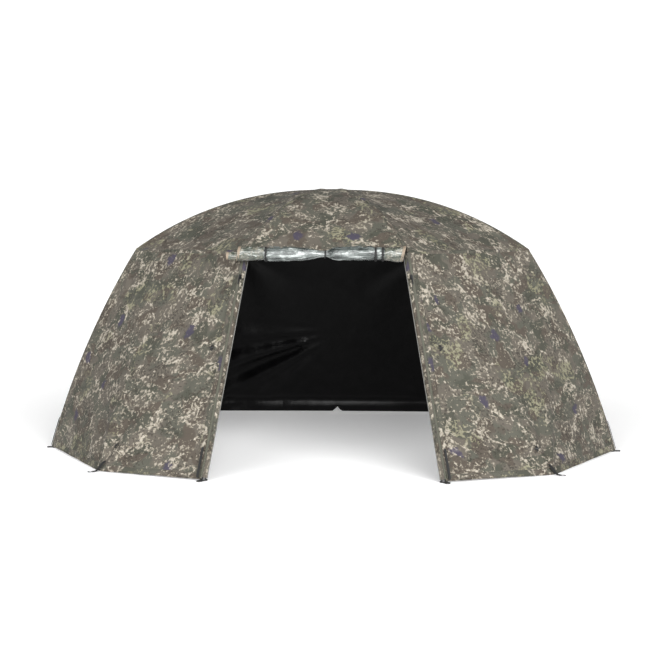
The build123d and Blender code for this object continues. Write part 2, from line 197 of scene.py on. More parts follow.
# ---- noise --------------------------------------------------------------------------------------
def noise(x, y, seed):
    """Smooth value noise from -1 to 1 on a unit lattice."""
    table = np.random.default_rng(seed).uniform(-1, 1, (64, 64))
    xi, yi = np.floor(x).astype(int), np.floor(y).astype(int)
    fx, fy = x - xi, y - yi
    fx, fy = fx * fx * (3 - 2 * fx), fy * fy * (3 - 2 * fy)
    near = table[xi % 64, yi % 64] * (1 - fx) + table[(xi + 1) % 64, yi % 64] * fx
    far = table[xi % 64, (yi + 1) % 64] * (1 - fx) + table[(xi + 1) % 64, (yi + 1) % 64] * fx
    return near * (1 - fy) + far * fy


def ridged(x, y, seed):
    """Noise folded into soft-edged creases, from 0 between creases to 1 on one."""
    return 1 - np.sqrt(noise(x, y, seed) ** 2 + 0.0036) ** 0.5


# ---- materials ----------------------------------------------------------------------------------
class Shader:
    """A node material under construction."""

    def __init__(self, name):
        self.material = bpy.data.materials.new(name)
        self.material.use_nodes = True
        self.nodes = self.material.node_tree.nodes
        self.links = self.material.node_tree.links
        self.bsdf = self.nodes["Principled BSDF"]

    def node(self, kind, settings=None, **inputs):
        made = self.nodes.new(kind)
        for key, value in (settings or {}).items():
            setattr(made, key, value)
        for key, value in inputs.items():
            self.put(made, key.replace("_", " "), value)
        return made

    def put(self, node, key, value):
        socket = node.inputs[int(key[1:])] if key[:1] == "i" and key[1:].isdigit() else node.inputs[key]
        if isinstance(value, bpy.types.NodeSocket):
            self.links.new(value, socket)
        else:
            socket.default_value = value

    def set(self, **inputs):
        for key, value in inputs.items():
            self.put(self.bsdf, key.replace("_", " "), value)

    def math(self, operation, a, b=0.0, c=0.0):
        made = self.node("ShaderNodeMath", {"operation": operation}, i0=a, i1=b, i2=c)
        return made.outputs[0]

    def mix(self, share, a, b):
        made = self.node("ShaderNodeMix", {"data_type": "RGBA"})
        self.put(made, "i0", share)
        for socket, value in (("i6", a), ("i7", b)):
            self.put(made, socket, value if isinstance(value, bpy.types.NodeSocket) else (*value, 1.0))
        return made.outputs[2]

    def noise(self, vector, scale, detail=2.0, roughness=0.5, distortion=0.0):
        made = self.node(
            "ShaderNodeTexNoise", None,
            Vector=vector, Scale=scale, Detail=detail, Roughness=roughness, Distortion=distortion,
        )
        return made.outputs["Fac"]

    def step(self, value, low, high, start=0.0, end=1.0):
        """value mapped from low..high to start..end, clamped."""
        made = self.node("ShaderNodeMapRange", {"clamp": True}, Value=value)
        for key, number in zip(("From Min", "From Max", "To Min", "To Max"), (low, high, start, end)):
            made.inputs[key].default_value = number
        return made.outputs["Result"]

    def bump(self, height, strength, distance, after=None):
        made = self.node("ShaderNodeBump", None, Height=height, Strength=strength, Distance=distance)
        if after is not None:
            self.put(made, "Normal", after)
        return made.outputs["Normal"]

    def uv(self, name="cut"):
        return self.node("ShaderNodeUVMap", {"uv_map": name}).outputs["UV"]

    def place(self):
        return self.node("ShaderNodeTexCoord").outputs["Object"]

    def scaled(self, vector, scale, turn=0.0):
        made = self.node("ShaderNodeMapping", {"vector_type": "POINT"}, Vector=vector)
        made.inputs["Rotation"].default_value = (0, 0, turn)
        made.inputs["Scale"].default_value = scale
        return made.outputs["Vector"]


def weave_height(shader, vector, pitch):
    """A plain weave: two crossed waves, one for each thread direction."""
    threads = []
    for direction in ("X", "Y"):
        wave = shader.node(
            "ShaderNodeTexWave", {"bands_direction": direction}, Vector=vector, Scale=1 / pitch / 3.0,
        )
        threads.append(wave.outputs["Fac"])
    return shader.math("ADD", threads[0], threads[1])


CAMO = {
    "grey_brown": (0.0603, 0.0534, 0.0441),
    "olive": (0.0476, 0.0470, 0.0377),
    "brown": (0.0452, 0.0377, 0.0302),
    "dark": (0.0197, 0.0174, 0.0139),
    "green_dark": (0.0319, 0.0331, 0.0255),
    "beige": (0.1682, 0.1508, 0.1230),
    "pale": (0.2320, 0.2117, 0.1769),
    "sand": (0.0957, 0.0847, 0.0661),
    "moss": (0.0957, 0.0945, 0.0568),
    "violet": (0.0290, 0.0255, 0.0406),
    "thread": (0.0186, 0.0168, 0.0128),
}


def stitch_rows(shader, pitch=0.0042):
    """Two rows of thread along a strip, as a mask from its own edge coordinates."""
    along = shader.node("ShaderNodeSeparateXYZ", None, Vector=shader.uv("edge"))
    edge = shader.math("ABSOLUTE", shader.math("SUBTRACT", along.outputs[1], 0.5))
    row = shader.math("COMPARE", edge, 0.34, 0.040)
    wave = shader.math("SINE", shader.math("MULTIPLY", along.outputs[0], 2 * math.pi / pitch))
    return shader.math("MULTIPLY", row, shader.step(wave, -0.3, 0.0))


def camouflage(name="camo_cloth", stitched=False):
    """Printed camouflage: soft olive and brown ground, dark mottling, branching pale flecks made of
    small square cells, moss flecks and scattered violet spots, on a fine weave."""
    s = Shader(name)
    cut = s.uv()
    wander = s.node("ShaderNodeTexNoise", None, Vector=cut, Scale=11.0, Detail=3.0)
    bent = s.node(
        "ShaderNodeVectorMath", {"operation": "MULTIPLY_ADD"}, i0=wander.outputs["Color"],
        i1=(0.11, 0.11, 0.0), i2=cut,
    ).outputs[0]
    cells = s.node(
        "ShaderNodeVectorMath", {"operation": "SNAP"}, i0=cut, i1=(0.0048, 0.0056, 1.0)
    ).outputs[0]
    fine = s.noise(cells, 64.0, 2.0, 0.62)
    second_fine = s.noise(s.scaled(cells, (60.0, 84.0, 1), 0.6), 1.0, 2.0, 0.65)

    ground = s.mix(s.step(s.noise(bent, 6.0, 2.0), 0.47, 0.53), CAMO["grey_brown"], CAMO["olive"])
    brown = s.step(s.noise(s.scaled(bent, (7.4, 9.6, 1), 0.7), 1.0, 2.0), 0.53, 0.57)
    ground = s.mix(brown, ground, CAMO["brown"])
    green = s.step(s.noise(s.scaled(bent, (6.6, 8.4, 1), -0.5), 1.0, 2.0), 0.56, 0.60)
    ground = s.mix(s.math("MULTIPLY", green, 0.85), ground, CAMO["green_dark"])

    shade_area = s.step(s.noise(bent, 7.0, 2.0), 0.40, 0.64, -0.06, 0.10)
    dark = s.step(s.math("ADD", second_fine, shade_area), 0.60, 0.64)
    ground = s.mix(s.math("MULTIPLY", dark, 0.72), ground, CAMO["dark"])

    branches = None
    for size, turn, width in (((9.0, 5.4, 1), 0.75, 0.042), ((7.0, 12.0, 1), -0.35, 0.030)):
        contour = s.noise(s.scaled(bent, size, turn), 1.0, 2.0, 0.55)
        off_line = s.math("ABSOLUTE", s.math("SUBTRACT", contour, 0.5))
        line = s.step(off_line, 0.0, width, 0.19, 0.0)
        branches = line if branches is None else s.math("ADD", branches, line)
    patches = s.step(s.noise(s.scaled(bent, (7.4, 9.2, 1), 0.3), 1.0, 2.0), 0.34, 0.66, -0.13, 0.11)
    speckle = s.math("MULTIPLY_ADD", fine, 1.35, -0.175)
    fleck = s.math("ADD", s.math("ADD", speckle, branches), patches)
    ground = s.mix(s.math("MULTIPLY", s.step(fleck, 0.62, 0.66), 0.65), ground, CAMO["sand"])
    ground = s.mix(s.math("MULTIPLY", s.step(fleck, 0.70, 0.73), 0.90), ground, CAMO["beige"])
    ground = s.mix(s.math("MULTIPLY", s.step(fleck, 0.82, 0.86), 0.85), ground, CAMO["pale"])
    moss_area = s.step(s.noise(bent, 4.3, 1.0), 0.57, 0.62)
    moss = s.math("MULTIPLY", moss_area, s.step(fleck, 0.64, 0.67))
    ground = s.mix(s.math("MULTIPLY", moss, 0.70), ground, CAMO["moss"])

    spots = s.node(
        "ShaderNodeTexVoronoi", {"voronoi_dimensions": "2D"},
        Vector=s.scaled(bent, (3.5, 3.0, 1), 0.25), Scale=1.0, Randomness=1.0,
    )
    ragged = s.math("ADD", spots.outputs["Distance"], s.math("MULTIPLY", fine, 0.16))
    chosen = s.node("ShaderNodeSeparateColor", None, Color=spots.outputs["Color"]).outputs[0]
    violet = s.math("MULTIPLY", s.step(ragged, 0.175, 0.145), s.step(chosen, 0.46, 0.47))
    colour = s.mix(s.math("MULTIPLY", violet, 0.85), ground, CAMO["violet"])

    weave = s.bump(weave_height(s, cut, 0.0011), 0.25, 0.0003)
    slack = s.bump(s.noise(s.scaled(cut, (9.0, 4.5, 1), 0.6), 1.0, 3.0, 0.5), 0.55, 0.030, weave)
    crumple = s.bump(s.noise(cut, 34.0, 4.0, 0.6), 0.22, 0.004, slack)
    if stitched:
        thread = stitch_rows(s)
        colour = s.mix(s.math("MULTIPLY", thread, 0.75), colour, CAMO["thread"])
        crumple = s.bump(thread, 0.6, 0.0006, crumple)
    s.set(Base_Color=colour, Roughness=0.82, Specular_IOR_Level=0.12, Normal=crumple)
    s.set(Sheen_Weight=0.02, Sheen_Roughness=0.5)
    return s.material


def black_coating():
    """The glossy black coat on the cloth's inner face, finely crumpled."""
    s = Shader("black_coating")
    cut = s.uv()
    tone = s.step(s.noise(cut, 14.0, 3.0), 0.3, 0.7)
    colour = s.mix(tone, (0.0008, 0.0008, 0.0009), (0.0018, 0.0017, 0.0019))
    weave = s.bump(weave_height(s, cut, 0.0011), 0.12, 0.0002)
    fold = s.bump(s.noise(s.scaled(cut, (8.0, 3.2, 1), 0.8), 1.0, 3.0, 0.45), 0.30, 0.030, weave)
    creases = s.bump(s.noise(cut, 46.0, 3.0, 0.6), 0.14, 0.003, fold)
    s.set(Base_Color=colour, Roughness=s.step(tone, 0, 1, 0.28, 0.36), Normal=creases)
    s.set(Specular_IOR_Level=0.13)
    return s.material


def strap_cloth(name, colour, rib_pitch=0.0022):
    """Woven webbing or binding tape with ribs across its length and a row of stitches near each edge."""
    s = Shader(name)
    cut = s.uv("edge")
    along = s.node("ShaderNodeSeparateXYZ", None, Vector=cut)
    ribs = s.math("SINE", s.math("MULTIPLY", along.outputs[0], 2 * math.pi / rib_pitch))
    stitch = stitch_rows(s)
    fuzz = s.noise(s.scaled(cut, (160, 30, 1)), 1.0, 3.0)
    lighter = tuple(min(1.0, channel * 1.7 + 0.012) for channel in colour)
    shade = s.mix(s.step(fuzz, 0.3, 0.75, 0.0, 0.5), colour, lighter)
    shade = s.mix(s.math("MULTIPLY", stitch, 0.6), shade, lighter)
    low = s.bump(ribs, 0.35, 0.0004)
    s.set(Base_Color=shade, Roughness=0.78, Normal=s.bump(stitch, 0.5, 0.0006, low))
    s.set(Specular_IOR_Level=0.25)
    return s.material


def clear_film():
    """Rolled clear film over dark cloth: grey-green, glossy, with long streaks along the roll; its lightest
    streaks are painted reflections.
    """
    s = Shader("rolled_film")
    place = s.place()
    streaks = s.noise(s.scaled(place, (7, 60, 60)), 1.0, 5.0, 0.65, 0.6)
    cloud = s.noise(s.scaled(place, (16, 30, 30)), 1.0, 3.0, 0.6, 0.8)
    tone = s.math("ADD", s.math("MULTIPLY", streaks, 0.65), s.math("MULTIPLY", cloud, 0.35))
    dark = s.mix(s.step(tone, 0.42, 0.50), (0.0080, 0.0110, 0.0105), (0.0700, 0.0800, 0.0760))
    # painted reflection: where the streaks run high the colour is lifted to a pale grey-green
    colour = s.mix(s.step(tone, 0.53, 0.60), dark, (0.2700, 0.2900, 0.2820))
    first = s.bump(streaks, 0.75, 0.012)
    s.set(Base_Color=colour, Roughness=0.20, Normal=s.bump(cloud, 0.35, 0.008, first))
    s.set(Specular_IOR_Level=0.55, Coat_Weight=0.35, Coat_Roughness=0.10)
    return s.material


def sheer_cloth():
    """Camouflage cloth seen through the film's clear edge: muted print under a glossy skin, with painted
    sheen on the fold crests and painted shade in the fold hollows.
    """
    s = Shader("film_over_camo")
    place = s.place()
    folds = s.noise(s.scaled(place, (22, 70, 70), 0.3), 1.0, 4.0, 0.6, 0.8)
    print_patches = s.noise(place, 42.0, 3.0, 0.7)
    base = s.mix(s.step(print_patches, 0.46, 0.54), (0.0406, 0.0476, 0.0371), (0.0957, 0.0928, 0.0754))
    base = s.mix(s.step(print_patches, 0.60, 0.64), base, (0.1740, 0.1624, 0.1305))
    # painted sheen: the fold crests are lightened towards a pale grey
    colour = s.mix(s.step(folds, 0.56, 0.66, 0.0, 0.75), base, (0.3016, 0.3161, 0.2958))
    # painted shade: the fold hollows are darkened nearly to black
    colour = s.mix(s.step(folds, 0.44, 0.34, 0.0, 0.8), colour, (0.0174, 0.0197, 0.0174))
    s.set(Base_Color=colour, Roughness=0.26, Normal=s.bump(folds, 0.7, 0.010))
    s.set(Specular_IOR_Level=0.5, Coat_Weight=0.3, Coat_Roughness=0.15)
    return s.material


def dark_aluminium():
    """Dark anodised tube with fine drawing marks along it and faint handling scuffs."""
    s = Shader("pole_anodised")
    place = s.place()
    marks = s.noise(s.scaled(place, (420, 420, 60)), 1.0, 2.0)
    scuffs = s.step(s.noise(place, 38.0, 5.0, 0.7), 0.60, 0.70)
    colour = s.mix(s.math("MULTIPLY", scuffs, 0.5), (0.0116, 0.0122, 0.0133), (0.0493, 0.0499, 0.0522))
    rough = s.step(marks, 0.3, 0.7, 0.30, 0.46)
    s.set(Base_Color=colour, Metallic=0.85, Roughness=rough, Normal=s.bump(marks, 0.08, 0.0003))
    return s.material


def moulded_nylon(name, colour):
    """Glass-filled nylon: spark-eroded grain and slight flow marks."""
    s = Shader(name)
    place = s.place()
    grain = s.noise(place, 900.0, 2.0)
    flow = s.noise(place, 26.0, 4.0)
    lighter = tuple(channel * 1.6 + 0.008 for channel in colour)
    shade = s.mix(s.step(flow, 0.35, 0.70, 0.0, 0.6), colour, lighter)
    s.set(Base_Color=shade, Roughness=s.step(flow, 0.3, 0.7, 0.46, 0.60))
    s.set(Normal=s.bump(grain, 0.22, 0.0003))
    return s.material


def bright_steel(name, colour, rough):
    """Plated steel with fine scratches and small dull patches."""
    s = Shader(name)
    place = s.place()
    scratch = s.noise(s.scaled(place, (900, 90, 300)), 1.0, 3.0)
    patch = s.noise(place, 60.0, 3.0)
    darker = tuple(channel * 0.55 for channel in colour)
    shade = s.mix(s.step(patch, 0.45, 0.65), colour, darker)
    s.set(Base_Color=shade, Metallic=1.0, Roughness=s.step(patch, 0.3, 0.7, rough, rough + 0.18))
    s.set(Normal=s.bump(scratch, 0.10, 0.0002))
    return s.material


CAMO_CLOTH = camouflage()
CAMO_SEAM = camouflage("camo_seam", stitched=True)
COATING = black_coating()
WEBBING = strap_cloth("black_webbing", (0.0070, 0.0070, 0.0070))
BINDING = strap_cloth("grey_binding", (0.1102, 0.1090, 0.1015))
ZIP_TAPE = strap_cloth("zip_tape", (0.0406, 0.0383, 0.0307), 0.0030)
TAN_CLOTH = strap_cloth("tan_tape", (0.1247, 0.0986, 0.0725))
FILM = clear_film()
SHEER_CLOTH = sheer_cloth()
POLE = dark_aluminium()
NYLON = moulded_nylon("black_nylon", (0.0070, 0.0070, 0.0070))
BUTTON = moulded_nylon("olive_nylon", (0.0435, 0.0476, 0.0290))
STEEL = bright_steel("plated_steel", (0.46, 0.46, 0.47), 0.28)
BLACK_METAL = bright_steel("black_metal", (0.045, 0.045, 0.047), 0.34)


# ---- meshes -------------------------------------------------------------------------------------
def build(name, points, faces, uvs=None, slots=(), materials=(), edge_uvs=None):
    """A mesh object from arrays; uvs and edge_uvs have one pair for each point."""
    mesh = bpy.data.meshes.new(name)
    mesh.from_pydata([tuple(p) for p in points], [], [tuple(int(i) for i in f) for f in faces])
    for material in materials:
        mesh.materials.append(material)
    if len(slots):
        mesh.polygons.foreach_set("material_index", np.asarray(slots, np.int32))
    corners = np.empty(len(mesh.loops), np.int32)
    mesh.loops.foreach_get("vertex_index", corners)
    for layer_name, pairs in (("cut", uvs), ("edge", edge_uvs)):
        if pairs is not None:
            layer = mesh.uv_layers.new(name=layer_name)
            layer.data.foreach_set("uv", np.asarray(pairs, float)[corners].ravel())
    mesh.polygons.foreach_set("use_smooth", np.ones(len(mesh.polygons), bool))
    mesh.update()
    mesh.set_sharp_from_angle(angle=math.radians(48))
    made = bpy.data.objects.new(name, mesh)
    bpy.context.scene.collection.objects.link(made)
    return made


def grid_normals(grid, outward_from=MIDDLE):
    """Unit normals of a grid of points, pointing away from a place."""
    across = np.gradient(grid, axis=1)
    along = np.gradient(grid, axis=0)
    normals = unit(np.cross(across, along))
    if np.mean(np.sum(normals * (grid - outward_from), axis=-1)) < 0:
        normals = -normals
    return normals


def shell(name, grid, uv, thickness=CLOTH, outer=None, inner=None, normals=None, edge_uv=None):
    """A closed two-faced sheet through a grid of points."""
    rows, cols = grid.shape[:2]
    normals = grid_normals(grid) if normals is None else normals
    top = (grid + normals * thickness / 2).reshape(-1, 3)
    under = (grid - normals * thickness / 2).reshape(-1, 3)
    count = rows * cols
    index = np.arange(count).reshape(rows, cols)
    a, b, c, d = index[:-1, :-1], index[:-1, 1:], index[1:, 1:], index[1:, :-1]
    quads = np.stack([a, b, c, d], -1).reshape(-1, 4)
    first = top[quads[0]]
    flipped = np.dot(np.cross(first[1] - first[0], first[3] - first[0]), normals[0, 0]) < 0
    face_up = quads[:, ::-1] if flipped else quads
    loop = np.concatenate([index[0, :-1], index[:-1, -1], index[-1, :0:-1], index[:0:-1, 0]])
    following = np.roll(loop, -1)
    rim = np.stack([loop, loop + count, following + count, following], -1)
    rim = rim if flipped else rim[:, ::-1]
    faces = np.concatenate([face_up, face_up[:, [0, 3, 2, 1]] + count, rim])
    slots = [0] * len(face_up) + [1] * len(face_up) + [0] * len(rim)
    pairs = [None if one is None else np.tile(one.reshape(-1, 2), (2, 1)) for one in (uv, edge_uv)]
    materials = (outer or CAMO_CLOTH, inner or COATING)
    return build(name, np.concatenate([top, under]), faces, pairs[0], slots, materials, pairs[1])


def tube_mesh(name, centres, radius, material, sides, closed=False):
    """A round tube through centres, with capped ends."""
    centres = np.asarray(centres, float)
    count = len(centres)
    if closed:
        tangent = unit(np.roll(centres, -1, 0) - np.roll(centres, 1, 0))
    else:
        tangent = unit(np.gradient(centres, axis=0))
    guide = vec(0, 0, 1) if abs(tangent[0][2]) < 0.8 else vec(1, 0, 0)
    side = unit(np.cross(tangent, guide))
    other = np.cross(tangent, side)
    angle = np.linspace(0, 2 * math.pi, sides, endpoint=False)
    radii = np.broadcast_to(np.asarray(radius, float), (count,))[:, None, None]
    ring = side[:, None] * np.cos(angle)[None, :, None] + other[:, None] * np.sin(angle)[None, :, None]
    points = (centres[:, None] + ring * radii).reshape(-1, 3)
    uv = np.stack(np.broadcast_arrays(run_along(centres)[:, None], (angle / 2 / math.pi)[None]), -1)
    faces = []
    last = count if closed else count - 1
    for row in range(last):
        for column in range(sides):
            here, beside = row * sides + column, row * sides + (column + 1) % sides
            below, corner = (here + sides) % (count * sides), (beside + sides) % (count * sides)
            faces.append((here, below, corner, beside))
    if not closed:
        faces.append(tuple(range(sides)))
        faces.append(tuple(range((count - 1) * sides, count * sides))[::-1])
    return build(name, points, faces, uv.reshape(-1, 2), materials=(material,))


def ribbon(name, line, normals, width, material, thickness=0.0012, lift=0.0, crown=0.0):
    """A flat strap along a line; normals point away from what it lies on."""
    line, normals = np.asarray(line, float), unit(normals)
    tangent = unit(np.gradient(line, axis=0))
    across = unit(np.cross(normals, tangent))
    share = np.linspace(-0.5, 0.5, 5)
    bulge = crown * (1 - (2 * share) ** 2)
    grid = line[:, None] + across[:, None] * (share * width)[None, :, None]
    grid = grid + normals[:, None] * (lift + thickness / 2 + bulge)[None, :, None]
    full = np.broadcast_to(normals[:, None], grid.shape)
    return strip(name, grid, width, thickness, material, material, full)


def strip(name, grid, width, thickness, outer, inner, normals, cut_offset=(0.0, 0.0)):
    """A narrow sheet whose rows run along it and whose columns cross it."""
    run, share = run_along(grid[:, grid.shape[1] // 2]), np.linspace(0, 1, grid.shape[1])
    edge_uv = np.stack(np.broadcast_arrays(run[:, None], share[None]), -1)
    uv = edge_uv * vec(1.0, width) + vec(*cut_offset)
    return shell(name, grid, uv, thickness, outer, inner, normals, edge_uv)


def furl(piece):
    """The piece is given a mesh of its own."""
    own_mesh(piece)


class Home:
    """The body that a stretch of cloth rides on; its start, end and toward points are kept with it."""

    def __init__(self, body, start, end, toward):
        self.body, self.start, self.end, self.toward = body, start, end, toward

    def settle(self, piece, slot="camo_cloth"):
        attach(piece, self.body)
        furl(piece)
        return piece


SHEETS = {}


def declare(piece, grid, held, rests_on):
    """Note the cut size of a panel, measured along its own lines before it is wrinkled."""
    across, along = grid[:-1, 1:] - grid[:-1, :-1], grid[1:, :-1] - grid[:-1, :-1]
    area = np.linalg.norm(np.cross(across, along), axis=-1).sum()
    width, length = float(row_lengths(grid).max()), float(column_lengths(grid).max())
    words = {"flat": (width, length), "held": held, "rests_on": rests_on}
    SHEETS[piece.name] = (piece, {**words, "area": min(float(area), width * length)}, [])


def sew_on(owner, *pieces):
    """The pieces are sewn to a sheet and go with it."""
    SHEETS[owner][-1].extend(pieces)


def fasten(piece, owner, body):
    """A piece sewn to a sheet, riding on a body."""
    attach(piece, body)
    sew_on(owner, piece)


# ---- canopy panels ------------------------------------------------------------------------------
def cut_coordinates(grid, seed):
    """Where each point of a panel lies on the bolt of cloth, in metres."""
    rows, cols = grid.shape[:2]
    widths = np.linalg.norm(np.diff(grid, axis=1), axis=-1)
    from_left = np.concatenate([np.zeros((rows, 1)), np.cumsum(widths, axis=1)], axis=1)
    from_left = from_left - from_left[:, -1:] / 2
    down = run_along(grid[:, cols // 2])
    offset = np.random.default_rng(seed).uniform(0, 40, 2)
    return np.stack([from_left + offset[0], -np.repeat(down[:, None], cols, 1) + offset[1]], -1)


def edge_fade(grid, reach=0.045):
    """0 at the panel's sewn edges, rising to 1 within reach of them."""
    rows, cols = grid.shape[:2]
    u, v = np.linspace(0, 1, cols)[None], np.linspace(0, 1, rows)[:, None]
    sideways = np.minimum(u, 1 - u) * row_lengths(grid)[:, None]
    upright = np.minimum(v, 1 - v) * column_lengths(grid)[None]
    return smooth(0, reach, np.minimum(sideways, upright))


def rays(grid, anchor, towards, length, depth, count, spread, seed):
    """Tension folds that fan out from an anchor point towards a place."""
    to_point = grid - anchor
    r = np.linalg.norm(to_point, axis=-1)
    forward = unit(towards - anchor)
    normal = unit(np.cross(grid[0, -1] - grid[0, 0], grid[-1, grid.shape[1] // 2] - grid[0, 0]))
    sideways = np.cross(normal, forward)
    angle = np.arctan2(to_point @ sideways, np.maximum(to_point @ forward, 1e-6))
    wobble = 0.35 * noise(r / length * 2.0, angle * 1.5 + 7, seed)
    wave = np.cos(angle * count + wobble * 3.0 + seed)
    envelope = (r / (length * 0.3)) * np.exp(1 - r / (length * 0.3))
    envelope = np.minimum(envelope, 1) * np.exp(-(angle / spread) ** 2)
    finest = 5 * CELL * count / (2 * math.pi)
    return depth * envelope * smooth(0.25 * finest, finest, r) * wave


def turned(cut, wavelength, stretch, turn):
    """Cut coordinates counted in wavelengths, which are longer by stretch in a turned direction."""
    c, s = math.cos(turn), math.sin(turn)
    x = (cut[..., 0] * c + cut[..., 1] * s) / wavelength
    y = (-cut[..., 0] * s + cut[..., 1] * c) / wavelength / stretch
    return x, y


def drift(cut, seed, depth, *pattern):
    """Slow unevenness of slack cloth."""
    return depth * noise(*turned(cut, *pattern), seed)


def creases(cut, seed, depth, wavelength, stretch, turn, keep):
    """Sparse soft creases; the higher keep is, the fewer there are."""
    x, y = turned(cut, wavelength, stretch, turn)
    return depth * smooth(keep, 1.0, ridged(x, y, seed)) * (0.5 + 0.5 * noise(x / 3, y / 3, seed + 5))


def eaves(first, second, share):
    """The sewn line between roof and wall, from one shoulder to the next."""
    share = np.asarray(share, float)[..., None]
    start, end = first.shoulder, second.shoulder
    out = unit(np.cross(end - start, UP))
    out = out if np.dot(out, (start + end) / 2 - MIDDLE) > 0 else -out
    return start + (end - start) * share + (out * 0.007 - UP * 0.005) * np.sin(math.pi * share)


def roof_grid(first, second, sag):
    """A roof panel's points from the hub to the eaves, and from one rib to the next."""
    widest = np.linalg.norm(first.shoulder - second.shoulder)
    longest = np.linalg.norm(first.shoulder - first.rib_line(vec(HUB_SHARE)[0]))
    rows, cols = int(longest / CELL) + 1, int(widest / CELL) + 1
    share = HUB_SHARE + (1 - HUB_SHARE) * np.linspace(0, 1, rows)
    across = np.linspace(0, 1, cols)
    grid = ruled(first.rib_line(share), second.rib_line(share), across)
    lower = eaves(first, second, across)
    grid = grid + smooth(0.80, 1.0, share)[:, None, None] * (lower - grid[-1])[None]
    fall = sag * np.sin(math.pi * across)[None] * np.sin(math.pi * np.linspace(0, 1, rows))[:, None]
    return grid - grid_normals(grid) * fall[..., None]


PANELS = {}
HOMES = {}


def panel(name, grid, push, seed, homes, nodes, held, rests_on):
    """Finished cloth: wrinkled, riding on its body and standing for its CAD nodes. With two homes the
    sheet is divided down the middle, and the halves ride on two bodies."""
    cut = cut_coordinates(grid, seed)
    wrinkled = grid + grid_normals(grid) * (push(grid, cut) * edge_fade(grid))[..., None]
    normals = grid_normals(wrinkled)
    cols = grid.shape[1]
    spans = [slice(0, cols)] if len(homes) == 1 else [slice(0, cols // 2 + 1), slice(cols // 2, cols)]
    for number, (span, home) in enumerate(zip(spans, homes)):
        label = name if len(homes) == 1 else f"{name}_{('left', 'right')[number]}"
        piece = shell(label, wrinkled[:, span], cut[:, span], normals=normals[:, span])
        declare(piece, grid[:, span], held, [rests_on[number]])
        home.settle(piece)
        HOMES[label] = home
        PANELS[label] = wrinkled[:, span]
        if nodes[number]:
            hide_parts(nodes[number])
    PANELS[name] = wrinkled


def roof_push(corners, seed):
    """The wrinkles of a roof panel: drawn towards the shoulders, with a few soft creases."""

    def push(grid, cut):
        middle = grid[grid.shape[0] // 2, grid.shape[1] // 2]
        return sum((
            drift(cut, seed, 0.0030, 0.26, 1.4, 0.4),
            creases(cut, seed + 1, 0.0050, 0.16, 3.2, 1.2, 0.55),
            creases(cut, seed + 2, 0.0036, 0.085, 3.0, -0.9, 0.55),
            *(rays(grid, corner, middle, 0.62, 0.0030, 13, 0.8, seed + 10 + number)
              for number, corner in enumerate(corners)),
        ))

    return push


def rib_home(spoke, toward):
    return Home(spoke.rib_body, spoke.pivot, spoke.knuckle, toward)


def leg_home(spoke, toward):
    return Home(spoke.leg_body, spoke.knuckle, spoke.foot, toward)


def even_columns(width):
    """An odd number of points across a width, so that one stands in its middle."""
    return 2 * (int(width / CELL) // 2) + 1


def make_roof():
    """The roof: a front and a rear panel across both sides, and two gores on each side."""
    for place, sag, seed in (("front", 0.004, 100), ("rear", 0.006, 140)):
        left, right = SPOKES[f"{place}_left"], SPOKES[f"{place}_right"]
        grid = roof_grid(left, right, sag)
        middle = grid[-1, grid.shape[1] // 2]
        panel(f"{place}_roof", grid, roof_push([left.shoulder, right.shoulder], seed), seed,
              [rib_home(left, middle), rib_home(right, middle)],
              [f"{place}_left_roof_panel", f"{place}_right_roof_panel"], "stretched",
              [f"{place}_left_roof_rib", f"{place}_right_roof_rib"])
    for side in SIDES:
        front, flank, rear = spokes_of(side)
        seed = 160 if side == "left" else 200
        for label, first, second in (("front_gore", front, flank), ("rear_gore", flank, rear)):
            grid = roof_grid(first, second, 0.010)
            node = f"{first.name}_roof_panel" if first is flank else None
            panel(f"{label}_{side}", grid, roof_push([first.shoulder, second.shoulder], seed), seed,
                  [rib_home(first, grid[-1, -1])], [node], "stretched", [f"{first.name}_roof_rib"])
            seed += 20


def meet_eaves(grid, first, second):
    """A wall's top edge is brought to the eaves line, and the rows below it follow less and less."""
    rows, cols = grid.shape[:2]
    follow = 1 - smooth(0.0, 0.30, np.linspace(0, 1, rows))
    upper = eaves(first, second, np.linspace(0, 1, cols))
    return grid + follow[:, None, None] * (upper - grid[0])[None]


def corner_weights(across, width):
    """Shares of the far edge, across a wall with a corner at its middle that is rounded over width."""
    x = 2 * across - 1
    return (x + np.sqrt(x * x + width * width) + 1 - np.sqrt(1 + width * width)) / 2


def wall_grid(first, second, peg):
    """A wall's points from the eaves to the hem; the hem is pulled out to a pegged corner."""
    top = np.linalg.norm(first.shoulder - second.shoulder)
    foot_run = np.linalg.norm(first.foot - peg) + np.linalg.norm(peg - second.foot)
    rows = int(np.linalg.norm(first.foot - first.shoulder) / CELL) + 1
    cols = even_columns(max(top, foot_run))
    down, across = np.linspace(0, 1, rows), np.linspace(0, 1, cols)
    near, far = first.leg_line(down), second.leg_line(down)
    ridge_top = eaves(first, second, vec(0.5)[0])
    ridge = ridge_top + (peg - ridge_top) * down[:, None]
    width = 0.40 - 0.35 * down[:, None]
    to_far = corner_weights(across[None], width)[..., None]
    to_near = corner_weights(1 - across[None], width)[..., None]
    grid = ridge[:, None] + (near - ridge)[:, None] * to_near + (far - ridge)[:, None] * to_far
    return meet_eaves(grid, first, second)


def hem_lift(grid, seed):
    """The hem stands a little off the ground between its pegged points, and waves."""
    rows, cols = grid.shape[:2]
    across = np.linspace(0, 1, cols)
    wave = HEM_HEIGHT + 0.002 * noise(across * 14, across + seed, seed)
    wave = np.abs(np.sin(2 * math.pi * across)) ** 0.8 * wave
    grid[..., 2] += smooth(0.86, 1.0, np.linspace(0, 1, rows))[:, None] * wave[None]
    return grid


